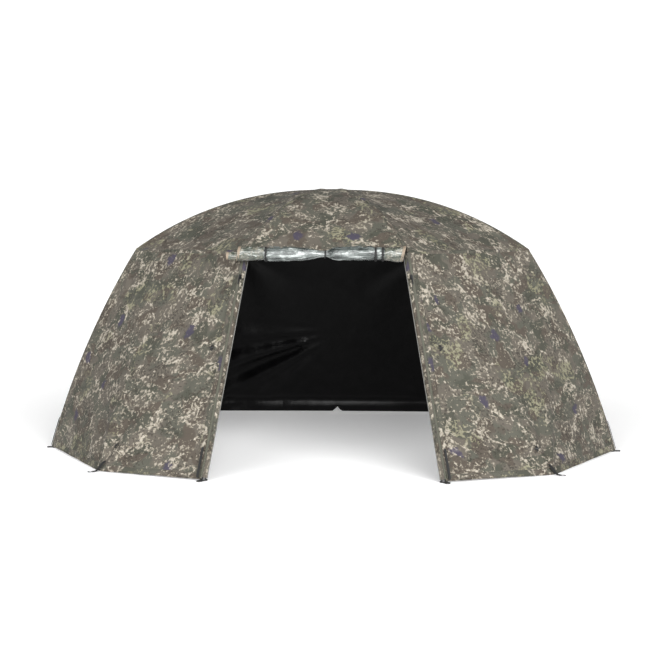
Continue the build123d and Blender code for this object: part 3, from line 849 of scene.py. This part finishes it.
def wall_push(first, second, peg, seed):
    """The wrinkles of a wall: drags between its fixed corners and crumples near the pegged hem."""

    def push(grid, cut):
        rows, cols = grid.shape[:2]
        down = np.linspace(0, 1, rows)[:, None]
        quarter, three = grid[rows // 2, cols // 4], grid[rows // 2, cols * 3 // 4]
        return sum((
            drift(cut, seed, 0.0050, 0.34, 1.6, 0.5),
            creases(cut, seed + 1, 0.0075, 0.19, 3.6, 0.95, 0.55),
            creases(cut, seed + 2, 0.0060, 0.12, 3.0, -0.75, 0.55),
            creases(cut, seed + 3, 0.0055, 0.095, 2.4, 0.2, 0.60) * (0.25 + down ** 2),
            drift(cut, seed + 4, 0.0035, 0.085, 2.2, 1.9) * (0.3 + down),
            rays(grid, peg, grid[rows // 3, cols // 2], 0.55, 0.0130, 9, 0.9, seed + 5),
            rays(grid, first.foot, quarter, 0.46, 0.0085, 8, 0.7, seed + 6),
            rays(grid, second.foot, three, 0.46, 0.0085, 8, 0.7, seed + 7),
            rays(grid, first.shoulder, quarter, 0.50, 0.0050, 12, 0.7, seed + 8),
            rays(grid, second.shoulder, three, 0.50, 0.0050, 12, 0.7, seed + 9),
        ))

    return push


FRONT_PEG = vec(1.110, SIDE_Y - 0.700, HEM_HEIGHT)
REAR_PEG = vec(1.280, SIDE_Y + 0.810, HEM_HEIGHT)


def peg_points(side):
    mirror = vec(SIDES[side], 1, 1)
    return {"wing_wall": FRONT_PEG * mirror, "flank_wall": REAR_PEG * mirror}


def rear_push(left, right, seed):
    """The wrinkles of the rear wall, which hangs slacker: a fan of folds runs out to its lower left, and
    a slack band lies along it above the hem."""

    def push(grid, cut):
        rows, cols = grid.shape[:2]
        apex, low_left = grid[rows // 2, cols * 53 // 100], grid[rows * 7 // 10, cols // 8]
        middle = grid[rows * 2 // 3, cols // 2]
        drags = []
        for number, spoke in enumerate((left, right)):
            drags.append(rays(grid, spoke.shoulder, middle, 0.7, 0.0085, 9, 0.8, seed + 3 + number))
            drags.append(rays(grid, spoke.foot, middle, 0.6, 0.0085, 9, 0.8, seed + 5 + number))
        return sum((
            0.017 * np.exp(-(((grid[..., 2] - 0.085) / 0.024) ** 2)),
            rays(grid, apex, low_left, 3.0, 0.0190, 26, 0.34, seed + 9),
            drift(cut, seed, 0.0055, 0.36, 1.5, 0.6),
            creases(cut, seed + 1, 0.0080, 0.26, 3.8, 0.9, 0.45),
            creases(cut, seed + 2, 0.0040, 0.17, 3.0, -0.8, 0.50),
            *drags,
        ))

    return push


def make_walls():
    """The front wings, the side walls behind the side legs, and the rear wall."""
    for side in SIDES:
        front, flank, rear = spokes_of(side)
        seed = 300 if side == "left" else 400
        for label, first, second in (("wing_wall", front, flank), ("flank_wall", flank, rear)):
            peg = peg_points(side)[label]
            grid = hem_lift(wall_grid(first, second, peg), seed)
            panel(f"{label}_{side}", grid, wall_push(first, second, peg, seed), seed,
                  [leg_home(first, grid[-1, -1])], [f"{first.name}_wall"], "hung",
                  [f"{first.name}_leg"])
            seed += 30
    left, right = SPOKES["rear_left"], SPOKES["rear_right"]
    rows = int(np.linalg.norm(left.foot - left.shoulder) / CELL) + 1
    cols = even_columns(right.foot[0] - left.foot[0])
    down, across = np.linspace(0, 1, rows), np.linspace(0, 1, cols)
    grid = meet_eaves(ruled(left.leg_line(down), right.leg_line(down), across), left, right)
    gap = 0.003 * np.sin(math.pi * across) + 0.030 * np.exp(-(((across - 0.489) / 0.010) ** 2))
    grid[..., 2] += smooth(0.965, 1.0, down)[:, None] * gap[None]
    middle = grid[-1, cols // 2]
    panel("rear_wall", grid, rear_push(left, right, 470), 470,
          [leg_home(left, middle), leg_home(right, middle)], ["rear_left_wall", "rear_right_wall"],
          "hung", ["rear_left_leg", "rear_right_leg"])


# ---- seams, hems and edges ----------------------------------------------------------------------
def edge_line(grid, which, share):
    """A panel's edge resampled at shares of its rows or columns, and the way into the panel there."""
    lines = {
        "near": (grid[:, 0], grid[:, 1]), "far": (grid[:, -1], grid[:, -2]),
        "top": (grid[0], grid[1]), "bottom": (grid[-1], grid[-2]),
    }
    line, inner = lines[which]
    return sampled(line, share), unit(sampled(inner - line, share))


def seam(name, owner, first, second, width, home, cut_offset):
    """A stitched seam that lies over the meeting edges of two panels, following both."""
    (line, into_first), (_, into_second) = first, second
    tangent = unit(np.gradient(line, axis=0))
    out = unit(np.cross(tangent, into_second - into_first))
    out = out * np.sign(np.sum(out * (line - MIDDLE), axis=-1, keepdims=True))
    columns = []
    for share, rise in ((-1.0, 0.0005), (-0.55, 0.0011), (0.0, 0.0011), (0.55, 0.0011), (1.0, 0.0005)):
        into = into_first if share < 0 else into_second
        columns.append(line + into * (abs(share) * width / 2) + out * rise)
    sew_strip(name, owner, np.stack(columns, 1), width, home, cut_offset)


def sew_strip(name, owner, grid, width, home, cut_offset):
    """A narrow stitched strip of cloth on a sheet, riding with it."""
    normals = grid_normals(grid)
    piece = strip(name, grid, width, SEAM_THICKNESS, CAMO_SEAM, CAMO_SEAM, normals, cut_offset)
    sew_on(owner, home.settle(piece))


def make_seams():
    """Seams over the six ribs and over the side and rear legs, and along the eaves."""
    number = 0
    whole = np.linspace(0.0, 1.0, 70)
    for side in SIDES:
        _, flank, rear = spokes_of(side)
        end, start = ("near", 0.0) if side == "left" else ("far", 0.5)
        half = np.linspace(start, start + 0.5, 40)
        gore, rear_gore = f"front_gore_{side}", f"rear_gore_{side}"
        wing, flank_wall, rear_roof = f"wing_wall_{side}", f"flank_wall_{side}", f"rear_roof_{side}"
        beside = vec(0, 0.3, 0)
        ribs = [rib_home(spoke, spoke.shoulder + beside) for spoke in spokes_of(side)]
        legs = [leg_home(spoke, spoke.foot + beside) for spoke in (flank, rear)]
        gore_home, rear_gore_home, rear_home = HOMES[gore], HOMES[rear_gore], HOMES[rear_roof]
        seams = (
            ("rib_seam_front", gore, "front_roof", end, gore, "near", ribs[0], whole),
            ("rib_seam_side", gore, gore, "far", rear_gore, "near", ribs[1], whole),
            ("rib_seam_rear", rear_gore, rear_gore, "far", "rear_roof", end, ribs[2], whole),
            ("leg_seam_side", wing, wing, "far", flank_wall, "near", legs[0], whole),
            ("leg_seam_rear", flank_wall, flank_wall, "far", "rear_wall", end, legs[1], whole),
            ("eaves_seam_wing", gore, gore, "bottom", wing, "top", gore_home, whole),
            ("eaves_seam_flank", rear_gore, rear_gore, "bottom", flank_wall, "top", rear_gore_home, whole),
            ("eaves_seam_rear", rear_roof, "rear_roof", "bottom", "rear_wall", "top", rear_home, half),
        )
        bolt_rows = {"rib": 1.7, "leg": 2.9, "eaves": 4.1}
        for label, owner, first, edge, second, other_edge, home, share in seams:
            kind = label.split("_")[0]
            width = EAVES_SEAM_WIDTH if kind == "eaves" else SEAM_WIDTH
            seam(f"{label}_{side}", owner, edge_line(PANELS[first], edge, share),
                 edge_line(PANELS[second], other_edge, share), width, home, (3.0 + number, bolt_rows[kind]))
            number += 1


def make_hems():
    """A doubled, stitched hem over the last two rows of cells along the foot of every wall."""
    for side in SIDES:
        for number, label in enumerate(("wing", "flank", "rear")):
            owner = f"{label}_wall_{side}"
            grid = PANELS[owner]
            normals = grid_normals(grid)
            columns = []
            for up, rise in ((0.0, 0.0011), (0.5, 0.0011), (1.0, 0.0011), (1.5, 0.0011), (2.0, 0.0004)):
                low, share = int(up), up % 1
                place = grid[-1 - low] * (1 - share) + grid[-1 - min(low + 1, 2)] * share
                columns.append(place + normals[-1 - low] * rise)
            sew_strip(f"hem_{label}_{side}", owner, np.stack(columns, 1), 2 * CELL, HOMES[owner],
                      (9.0 + number, 6.3))


def make_door_edges():
    """Beside the doorway the cloth wraps round each front leg in a bound sleeve; the door's zip runs
    down its outer side, half hidden by a storm flap."""
    for side in SIDES:
        front = SPOKES[f"front_{side}"]
        share = np.linspace(0.004, 0.990, 90)
        line, into_wall = edge_line(PANELS[f"wing_wall_{side}"], "near", share)
        tangent = unit(np.gradient(line, axis=0))
        out = unit(np.cross(tangent, np.cross(UP, front.u)))
        out = out * np.sign(out @ front.u)[:, None]
        door_way = unit(np.cross(out, tangent))
        door_way = door_way * -np.sign(np.sum(door_way * into_wall, axis=-1, keepdims=True))

        turn = np.radians(np.linspace(0, 128, 12))
        reach = np.interp(turn, (0, turn[-1]), (LEG_STAND_OFF, 0.0135))
        wrap = out[:, None] * np.cos(turn)[None, :, None] + door_way[:, None] * np.sin(turn)[None, :, None]
        grid = (line - out * LEG_STAND_OFF)[:, None] + wrap * reach[None, :, None]
        sleeve = strip(f"leg_sleeve_{side}", grid, 0.040, 0.0010, CAMO_CLOTH, COATING, wrap, (13.0, 8.0))
        rim_line = grid[:, -3] + wrap[:, -3] * 0.0008
        rim = ribbon(f"sleeve_binding_{side}", rim_line, wrap[:, -3], 0.007, BINDING, 0.0012, crown=0.0007)
        tape = ribbon(f"zip_tape_{side}", line + out * 0.0008, out, 0.016, ZIP_TAPE, 0.0009)
        teeth = zip_teeth(f"zip_teeth_{side}", line + out * 0.0017, out, tangent)
        flap_line = line + into_wall * 0.020 + out * 0.0022
        flap = ribbon(f"storm_flap_{side}", flap_line, out, 0.030, CAMO_SEAM, 0.0010)
        for piece in (sleeve, rim, tape, teeth, flap):
            fasten(piece, f"wing_wall_{side}", front.leg_body)


def zip_teeth(name, line, out, tangent, pitch=0.0050):
    """Two interleaved rows of moulded zip teeth along a line."""
    run = run_along(line)
    stations = np.arange(0.03, run[-1], pitch / 2)
    around = ((-1, -1), (1, -1), (1, 1), (-1, 1))
    corners = [(x, y, 0) for x, y in around] + [(0.6 * x, 0.8 * y, 1) for x, y in around]
    quads = ((0, 3, 2, 1), (4, 5, 6, 7), (0, 1, 5, 4), (1, 2, 6, 5), (2, 3, 7, 6), (3, 0, 4, 7))
    points, faces = [], []
    for number, station in enumerate(stations):
        n, t = unit(sampled(out, station, run)), unit(sampled(tangent, station, run))
        sideways = np.cross(n, t)
        at = sampled(line, station, run) + sideways * (0.0013 if number % 2 else -0.0013)
        base = len(points)
        points.extend(at + sideways * 0.0019 * x + t * 0.0011 * y + n * 0.0018 * z for x, y, z in corners)
        faces.extend(tuple(base + i for i in quad) for quad in quads)
    return build(name, points, faces, materials=(BUTTON,))


def make_hub_cover():
    """The doubled patch over the twin hub, where the six ribs' cloth comes together."""
    order = ("front_right", "side_right", "rear_right", "rear_left", "side_left", "front_left")
    centre = vec(0, SIDE_Y, SPOKES["side_left"].pivot[2] + RIB_STAND_OFF + 0.004)
    per_sector = 10
    rows = np.concatenate([np.linspace(0.12, 0.9, 7), np.linspace(1.0, 2.0, 6)])
    rings = []
    for row in rows:
        ring = []
        for number, name in enumerate(order):
            first, second = SPOKES[name], SPOKES[order[(number + 1) % 6]]
            for step in range(per_sector):
                across = step / per_sector
                share = vec(max(row - 1, 0.0) * HUB_SHARE * 1.16)
                outer = first.rib_line(share)[0] * (1 - across) + second.rib_line(share)[0] * across
                ring.append(centre + (outer - centre) * min(row, 1.0) + UP * 0.0016)
        rings.append(ring)
    grid = np.array(rings)
    for sign in SIDES.values():
        reach = np.linalg.norm((grid - vec(sign * HUB_BLOCK_X, SIDE_Y, 0))[..., :2], axis=-1)
        grid[..., 2] += 0.0050 * np.exp(-(reach / 0.024) ** 2)
    columns = grid.shape[1]
    count = grid.shape[0] * columns
    index = np.arange(count).reshape(grid.shape[:2])
    following = np.roll(index, -1, axis=1)
    quads = np.stack([index[:-1], following[:-1], following[1:], index[1:]], -1).reshape(-1, 4)
    top = grid.reshape(-1, 3)
    under = top - UP * CLOTH
    faces = [tuple(q) for q in quads[:, ::-1]] + [tuple(q + count) for q in quads]
    faces.append(tuple(range(columns)))
    faces.append(tuple(range(count, count + columns))[::-1])
    last, after = index[-1], following[-1]
    faces.extend((a, a + count, b + count, b) for a, b in zip(last, after))
    uv = top[:, :2] + vec(20.0, 30.0)
    run = np.broadcast_to(np.linspace(0, 1.3, columns)[None], grid.shape[:2])
    across = np.broadcast_to(np.interp(rows, (0, 1.6, 2.0), (0.30, 0.5, 1.0))[:, None], grid.shape[:2])
    edge_uv = np.stack([run, across], -1).reshape(-1, 2)
    slots = [0] * len(quads) + [1] * len(quads) + [0, 1] + [0] * columns
    piece = build("hub_cover", np.concatenate([top, under]), faces, np.tile(uv, (2, 1)), slots,
                  (CAMO_SEAM, COATING), np.tile(edge_uv, (2, 1)))
    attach(piece, "hub")
    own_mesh(piece)
    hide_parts("hub_cover_patch")


# ---- the rolled door ----------------------------------------------------------------------------
ROLL = vec(0, SIDE_Y - 0.672, 1.064)
ROLL_RADIUS = 0.037
ROLL_FLATNESS = 0.94
STRAPS = {"left": (-0.286,), "right": (0.243, 0.277)}
ROLL_ENDS = {"left": (-0.286, -0.420), "right": (0.277, 0.376)}
TURNS = 3.4
TAPE_TURNS = 2.2


def roll_radius(x):
    """The roll's radius along its length: full between the straps and nipped in where it is tied."""
    x = np.asarray(x, float)
    lumps = 0.06 * noise(x * 17, x * 0 + 0.5, 61) + 0.03 * noise(x * 51, x * 0 + 0.2, 62)
    radius = ROLL_RADIUS * (1 + lumps)
    neck = np.where(x < 0, 0.075, 0.034)
    radius = radius * (1 - 0.58 * np.exp(-((x / neck) ** 2)))
    for strap in (*STRAPS["left"], *STRAPS["right"]):
        radius = radius * (1 - 0.14 * np.exp(-(((x - strap) / 0.014) ** 2)))
    return radius


def spiral_grid(xs, radius, turns, start_angle, seed, creases_deep=1.0):
    """A sheet rolled up about the X direction: rows run along X, columns run inwards round the roll."""
    columns = int(30 * turns)
    share = np.linspace(0, 1, columns)
    angle = start_angle + share * turns * 2 * math.pi
    shrink = 1 - 0.62 * share
    x = xs[:, None] + 0 * share[None]
    ripple = noise(x * 42 + 3, angle[None] * 1.3, seed) * 0.060
    ripple = ripple + noise(x * 11, angle[None] * 3.0, seed + 1) * 0.085
    ripple = ripple - 0.11 * creases_deep * smooth(0.80, 1.0, ridged(x * 8, angle[None] * 1.9, seed + 2))
    r = radius[:, None] * shrink[None] * (1 + ripple * (1 - 0.6 * share[None]))
    sagging = -0.004 * noise(xs * 6, xs * 0 + 0.4, seed + 3)
    y = ROLL[1] + r * np.cos(angle)[None]
    z = ROLL[2] + sagging[:, None] + r * np.sin(angle)[None] * ROLL_FLATNESS
    return np.stack([x, y, z], -1)


def roll_piece(name, grid, side, outer, seed, rests_on, node=None):
    """One rolled sheet, and the cut size that its turns come to."""
    piece = shell(name, grid, cut_coordinates(grid, seed), 0.0011, outer, outer)
    length, width = float(abs(grid[-1, 0, 0] - grid[0, 0, 0])), float(np.mean(row_lengths(grid)))
    SHEETS[name] = (piece, {"flat": (length, width), "held": "folded", "rests_on": [rests_on]}, [])
    bunch(piece, side)
    if node:
        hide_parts(node)


def bunch(piece, side):
    """The piece rides on its side's front rib."""
    spoke = SPOKES[f"front_{side}"]
    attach(piece, spoke.rib_body)
    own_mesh(piece)


def strap_loop(name, x, radius, width, side):
    """A webbing strap round the roll, closed by a small moulded buckle underneath."""
    angle = np.linspace(-1.7, -1.7 + 2.08 * math.pi, 60)
    grow = 0.0016 * np.linspace(0, 1, len(angle))
    ring = np.stack([
        np.full_like(angle, x), ROLL[1] + (radius + grow) * np.cos(angle),
        ROLL[2] + (radius + grow) * np.sin(angle) * ROLL_FLATNESS,
    ], -1)
    normals = np.stack([angle * 0, np.cos(angle), np.sin(angle)], -1)
    loop = ribbon(name, ring, normals, width, WEBBING, 0.0013)
    under = ROLL + vec(x, 0.022, -(radius * 0.86))
    half_size = vec(width * 0.75, 0.009, 0)
    corners = under + half_size * np.array([(1, 1, 0), (1, -1, 0), (-1, -1, 0), (-1, 1, 0)])
    rim = [
        corner + (following - corner) * t
        for corner, following in zip(corners, np.roll(corners, -1, axis=0))
        for t in np.linspace(0, 1, 5)[:-1]
    ]
    buckle = tube_mesh(f"{name}_buckle", rim, 0.0017, NYLON, 8, closed=True)
    bunch(loop, side)
    bunch(buckle, side)
    sew_on(f"film_roll_{side}", loop, buckle)


def slanted(grid, start, end, lean):
    """The roll's section at its end leans: its top stands further out than its bottom."""
    share = smooth(start, end, np.abs(grid[..., 0]))
    grid[..., 0] += lean * share * (grid[..., 2] - ROLL[2]) / ROLL_RADIUS
    return grid


def make_roll():
    """The rolled-up door under the front eaves: clear film in two bulging lengths, cloth at its ends."""
    for side, sign in SIDES.items():
        outer_strap, cloth_end = ROLL_ENDS[side]
        rib = f"front_{side}_roof_rib"
        ends = (abs(outer_strap), abs(cloth_end))
        lean = sign * (-0.006 if side == "left" else 0.009)
        seed = 70 if side == "left" else 80
        xs = np.linspace(0.0, outer_strap * 1.03, 78)
        film = spiral_grid(xs, roll_radius(xs), TURNS, 0.55 * math.pi, seed)
        roll_piece(f"film_roll_{side}", film, side, FILM, seed, rib, f"{side}_door_roll")
        xs = np.linspace(outer_strap * 0.985, cloth_end, 40)
        flare = np.interp(np.abs(xs), ends, (0.90, 1.16))
        radius = ROLL_RADIUS * flare * (1 + 0.05 * noise(xs * 30, xs * 0 + 0.3, seed + 8))
        cloth = slanted(spiral_grid(xs, radius, TURNS, 0.52 * math.pi, seed + 12, 1.6), *ends, lean)
        roll_piece(f"cloth_roll_{side}", cloth, side, SHEER_CLOTH, seed + 12, rib)
        xs = np.linspace(cloth_end - sign * 0.009, cloth_end + sign * 0.004, 4)
        trim = spiral_grid(xs, np.full(4, radius[-1] * 1.02), TAPE_TURNS, 0.52 * math.pi, seed + 12, 1.6)
        trim = slanted(trim, *ends, lean)
        roll_piece(f"roll_end_tape_{side}", trim, side, TAN_CLOTH, seed + 13, f"cloth_roll_{side}")
        for number, x in enumerate(STRAPS[side]):
            strap_loop(f"roll_strap_{side}_{number}", x, float(roll_radius(x)) + 0.0030, 0.009, side)
    tie_radius = float(roll_radius(0.0)) + 0.0025
    loop = circle(ROLL, vec(0, tie_radius, 0), vec(0.002, 0, tie_radius))
    tie = tube_mesh("roll_middle_tie", loop, 0.0028, WEBBING, 10, closed=True)
    bunch(tie, "left")
    sew_on("film_roll_left", tie)
    make_stub()


def make_stub():
    """The narrower end of an inner layer, which sticks out of the roll's left end with its own tape."""
    start, end = -0.412, -0.474
    xs = np.linspace(start, end, 18)
    radius = ROLL_RADIUS * np.interp(xs, (end, start), (0.62, 0.74))
    stub = spiral_grid(xs, radius, 2.6, 0.6 * math.pi, 97, 1.4)
    xs = np.linspace(end + 0.008, end - 0.004, 4)
    tape = spiral_grid(xs, np.full(4, ROLL_RADIUS * 0.64), TAPE_TURNS, 0.6 * math.pi, 97, 1.4)
    for grid in (stub, tape):
        grid[..., 2] -= 0.010
    roll_piece("roll_left_stub", stub, "left", SHEER_CLOTH, 97, "cloth_roll_left")
    roll_piece("roll_stub_tape", tape, "left", TAN_CLOTH, 98, "roll_left_stub")


def front_eaves(side):
    """One side's half of the front eaves from the middle out, and the way into the roof there."""
    return edge_line(PANELS["front_roof"], "bottom", np.linspace(0.5, 0.0 if side == "left" else 1.0, 46))


def make_door_header():
    """The strip of the door that hangs from the front eaves and runs down into the roll."""
    for side in SIDES:
        top = front_eaves(side)[0] * vec(0.985, 1, 1)
        reach = np.clip(roll_radius(top[:, 0]), 0.02, 0.05) + 0.003
        rows = []
        down = np.linspace(0, 1, 12)
        for t in down:
            angle = (0.30 + 0.32 * t) * math.pi
            round_roll = np.stack([
                top[:, 0], reach * np.cos(angle), reach * np.sin(angle) * ROLL_FLATNESS,
            ], -1)
            along = smooth(0, 0.75, t)
            rows.append(top * (1 - along) + (ROLL + round_roll) * along - UP * 0.001)
        grid = np.stack(rows)
        cut = cut_coordinates(grid, 520)
        wave = 0.0035 * noise(cut[..., 0] * 26, cut[..., 1] * 6, 91) * smooth(0, 0.2, down)[:, None]
        grid = grid + grid_normals(grid) * wave[..., None]
        piece = shell(f"door_header_{side}", grid, cut)
        declare(piece, grid, "hung", [f"front_{side}_roof_rib"])
        HOMES[f"front_roof_{side}"].settle(piece)


def make_eaves_bands():
    """The stitched band that holds the header strips along the front eaves."""
    for side in SIDES:
        line, into = front_eaves(side)
        normals = unit(np.cross(np.gradient(line, axis=0), into))
        normals = normals * np.sign(normals[:, 2:3])
        band = ribbon(f"front_eaves_band_{side}", line + into * 0.010, normals, EAVES_SEAM_WIDTH, CAMO_SEAM,
                      0.0010, lift=0.0008)
        owner = f"front_roof_{side}"
        sew_on(owner, HOMES[owner].settle(band))


# ---- tabs, rings and toggles --------------------------------------------------------------------
def peg_tabs(side):
    """At the pegged corners of the hem: a looped webbing tab with a steel ring to take a peg."""
    for label in ("wing_wall", "flank_wall"):
        owner = f"{label}_{side}"
        peg = peg_points(side)[label]
        away = unit((peg - MIDDLE) * vec(1, 1, 0))
        t = np.linspace(0, 1, 12)
        line = peg + away * (-0.034 + 0.068 * t)[:, None]
        line[:, 2] = 0.044 * (1 - smooth(0, 0.75, t)) + 0.0045
        tab = ribbon(f"peg_tab_{owner}", line, np.tile(UP + away * 0.5, (12, 1)), 0.022, WEBBING, 0.0018)
        centre = peg + away * 0.042 + UP * (0.0042 - HEM_HEIGHT)
        loop = circle(centre, vec(0, 0.0125, 0), vec(-0.0125, 0, 0))
        ring = tube_mesh(f"peg_ring_{owner}", loop, 0.0022, STEEL, 10, closed=True)
        sew_on(owner, HOMES[owner].settle(tab, "rolled_door"), HOMES[owner].settle(ring, "steel"))


def foot_straps(side):
    """A webbing strap down the foot of every leg; the front ones stand clear of the door's zip."""
    for place, spoke in zip(PLACES, spokes_of(side)):
        line = spoke.leg_line(np.linspace(0.860, 0.992, 20)) + unit(spoke.shoulder - spoke.pivot) * 0.0035
        if place == "front":
            line = line + vec(SIDES[side] * 0.018, 0, 0)
        out = unit(np.cross(np.gradient(line, axis=0), np.cross(UP, spoke.u)))
        out = out * np.sign(np.sum(out * spoke.u, axis=-1, keepdims=True))
        strap = ribbon(f"foot_strap_{place}_{side}", line + out * 0.001, out, 0.012, WEBBING, 0.0016)
        owner = f"flank_wall_{side}" if place == "rear" else f"wing_wall_{side}"
        fasten(strap, owner, spoke.leg_body)


def make_feet():
    """The peg tabs and the foot straps, one side after the other."""
    for side in SIDES:
        peg_tabs(side)
        foot_straps(side)


def make_toggles():
    """Small tie-back toggles sewn to the wing walls: a short webbing loop with a moulded bar."""
    for side in SIDES:
        owner = f"wing_wall_{side}"
        grid = PANELS[owner]
        rows, cols = grid.shape[:2]
        normals = grid_normals(grid)
        for number, (down, across) in enumerate(((0.44, 0.10), (0.895, 0.465))):
            row, col = int(down * (rows - 1)), int(across * (cols - 1))
            centre, n = grid[row, col], normals[row, col]
            drop = unit(grid[row + 1, col] - grid[row, col])
            t = np.linspace(0, 1, 10)
            rise = 0.0015 + 0.007 * np.sin(math.pi * t)
            line = centre + drop * (0.030 * (t - 0.5))[:, None] + n * rise[:, None]
            loop = ribbon(f"toggle_loop_{side}_{number}", line, np.tile(n, (10, 1)), 0.010, WEBBING, 0.0012)
            beside = unit(np.cross(n, drop))
            bar_line = [centre + n * 0.008 + beside * x for x in np.linspace(-0.017, 0.017, 11)]
            thickness = 0.0032 * (1 - 0.35 * np.abs(np.linspace(-1, 1, 11)) ** 3)
            bar = tube_mesh(f"toggle_bar_{side}_{number}", bar_line, thickness, NYLON, 10)
            sew_on(owner, *(HOMES[owner].settle(piece, "moulding") for piece in (loop, bar)))


# ---- the frame's own parts ----------------------------------------------------------------------
def make_springs():
    """The coil spring round each release plunger, riding on the hub; on the real lock it is squeezed when
    the plunger is pulled down.
    """
    for side in SIDES:
        node = f"lock_spring_{side}"
        low, high = (np.array(corner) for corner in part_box(node))
        middle, radius = (low + high) / 2, (high[0] - low[0]) / 2 - COIL_WIRE
        turn = np.linspace(0, COIL_TURNS * 2 * math.pi, COIL_TURNS * 24 + 1)
        rise = np.interp(turn, (0, turn[-1]), (low[2] + COIL_WIRE, high[2] - COIL_WIRE))
        line = np.stack([middle[0] + radius * np.cos(turn), middle[1] + radius * np.sin(turn), rise], -1)
        coil = tube_mesh(f"spring_{side}", line, COIL_WIRE, STEEL, 8)
        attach(coil, "hub")
        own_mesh(coil)
        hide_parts(node)


def dress_frame():
    """Finishes for the CAD parts that stay on show."""
    finishes = {
        "pole": POLE, "moulding": NYLON, "steel": STEEL, "button": BUTTON, "zip_metal": BLACK_METAL,
        "rolled_door": WEBBING, "camo_cloth": CAMO_CLOTH,
    }
    slot_of = {part["node"]: part["material_slot"] for part in RECORD["subparts"]}
    for name, node in frame["nodes"].items():
        node.data.materials.clear()
        node.data.materials.append(finishes[slot_of[name]])


# ---- floor, light and camera --------------------------------------------------------------------
def make_stage():
    """A plain pale floor, a white surround that dims overhead, and two soft lights from the front."""
    shader = Shader("studio_floor")
    grain = shader.noise(shader.place(), 3.0, 4.0)
    shade = shader.mix(grain, (0.84, 0.84, 0.84), (0.88, 0.88, 0.88))
    shader.set(Base_Color=shade, Roughness=0.8, Specular_IOR_Level=0.1)
    shader.set(Emission_Color=(1.0, 1.0, 1.0, 1.0), Emission_Strength=0.24)
    floor = build(
        "studio_floor", [(-90, -60, 0), (90, -60, 0), (90, 300, 0), (-90, 300, 0)], [(0, 1, 2, 3)],
        materials=(shader.material,),
    )
    floor.location.z = -0.0002

    world = bpy.data.worlds.new("surround")
    world.use_nodes = True
    nodes, links = world.node_tree.nodes, world.node_tree.links
    height = nodes.new("ShaderNodeSeparateXYZ")
    links.new(nodes.new("ShaderNodeTexCoord").outputs["Generated"], height.inputs[0])
    fade = nodes.new("ShaderNodeMapRange")
    links.new(height.outputs["Z"], fade.inputs["Value"])
    for key, number in zip(("From Min", "From Max", "To Min", "To Max"), (0.17, 0.30, 1.20, 0.05)):
        fade.inputs[key].default_value = number
    background = nodes["Background"]
    background.inputs["Color"].default_value = (1.0, 1.0, 1.0, 1.0)
    links.new(fade.outputs["Result"], background.inputs["Strength"])
    bpy.context.scene.world = world
    lamps = (
        ("key", (3.9, -9.0, 3.0), 7.9),
        ("fill", (-4.9, -9.0, 2.5), 5.0),
    )
    for name, place, strength in lamps:
        lamp = bpy.data.lights.new(name, "SUN")
        lamp.angle, lamp.energy = math.radians(50), strength
        holder = bpy.data.objects.new(name, lamp)
        holder.location = place
        holder.rotation_euler = look(place, (0.0, -0.4, 0.6))
        bpy.context.scene.collection.objects.link(holder)


def look(place, aim):
    """The rotation that points a lamp from a place at an aim."""
    return (Vector(aim) - Vector(place)).to_track_quat("-Z", "Y").to_euler()


def make_camera():
    """The view from in front, a little to the right of the middle, at a standing adult's chest."""
    data = bpy.data.cameras.new("camera")
    data.lens, data.sensor_width = 71.6, 36.0
    camera = bpy.data.objects.new("camera", data)
    place = vec(0.29, SIDE_Y - 7.0, 1.20)
    pitch, yaw = math.radians(4.53), math.radians(2.42)
    camera.location = place
    camera.rotation_euler = (math.pi / 2 - pitch, 0, yaw)
    bpy.context.scene.collection.objects.link(camera)
    bpy.context.scene.camera = camera


make_camera()
make_stage()
dress_frame()
make_roof()
make_walls()
make_seams()
make_hems()
make_door_edges()
make_hub_cover()
make_roll()
make_door_header()
make_eaves_bands()
make_feet()
make_toggles()
make_springs()
bpy.context.scene.view_settings.view_transform = "Standard"
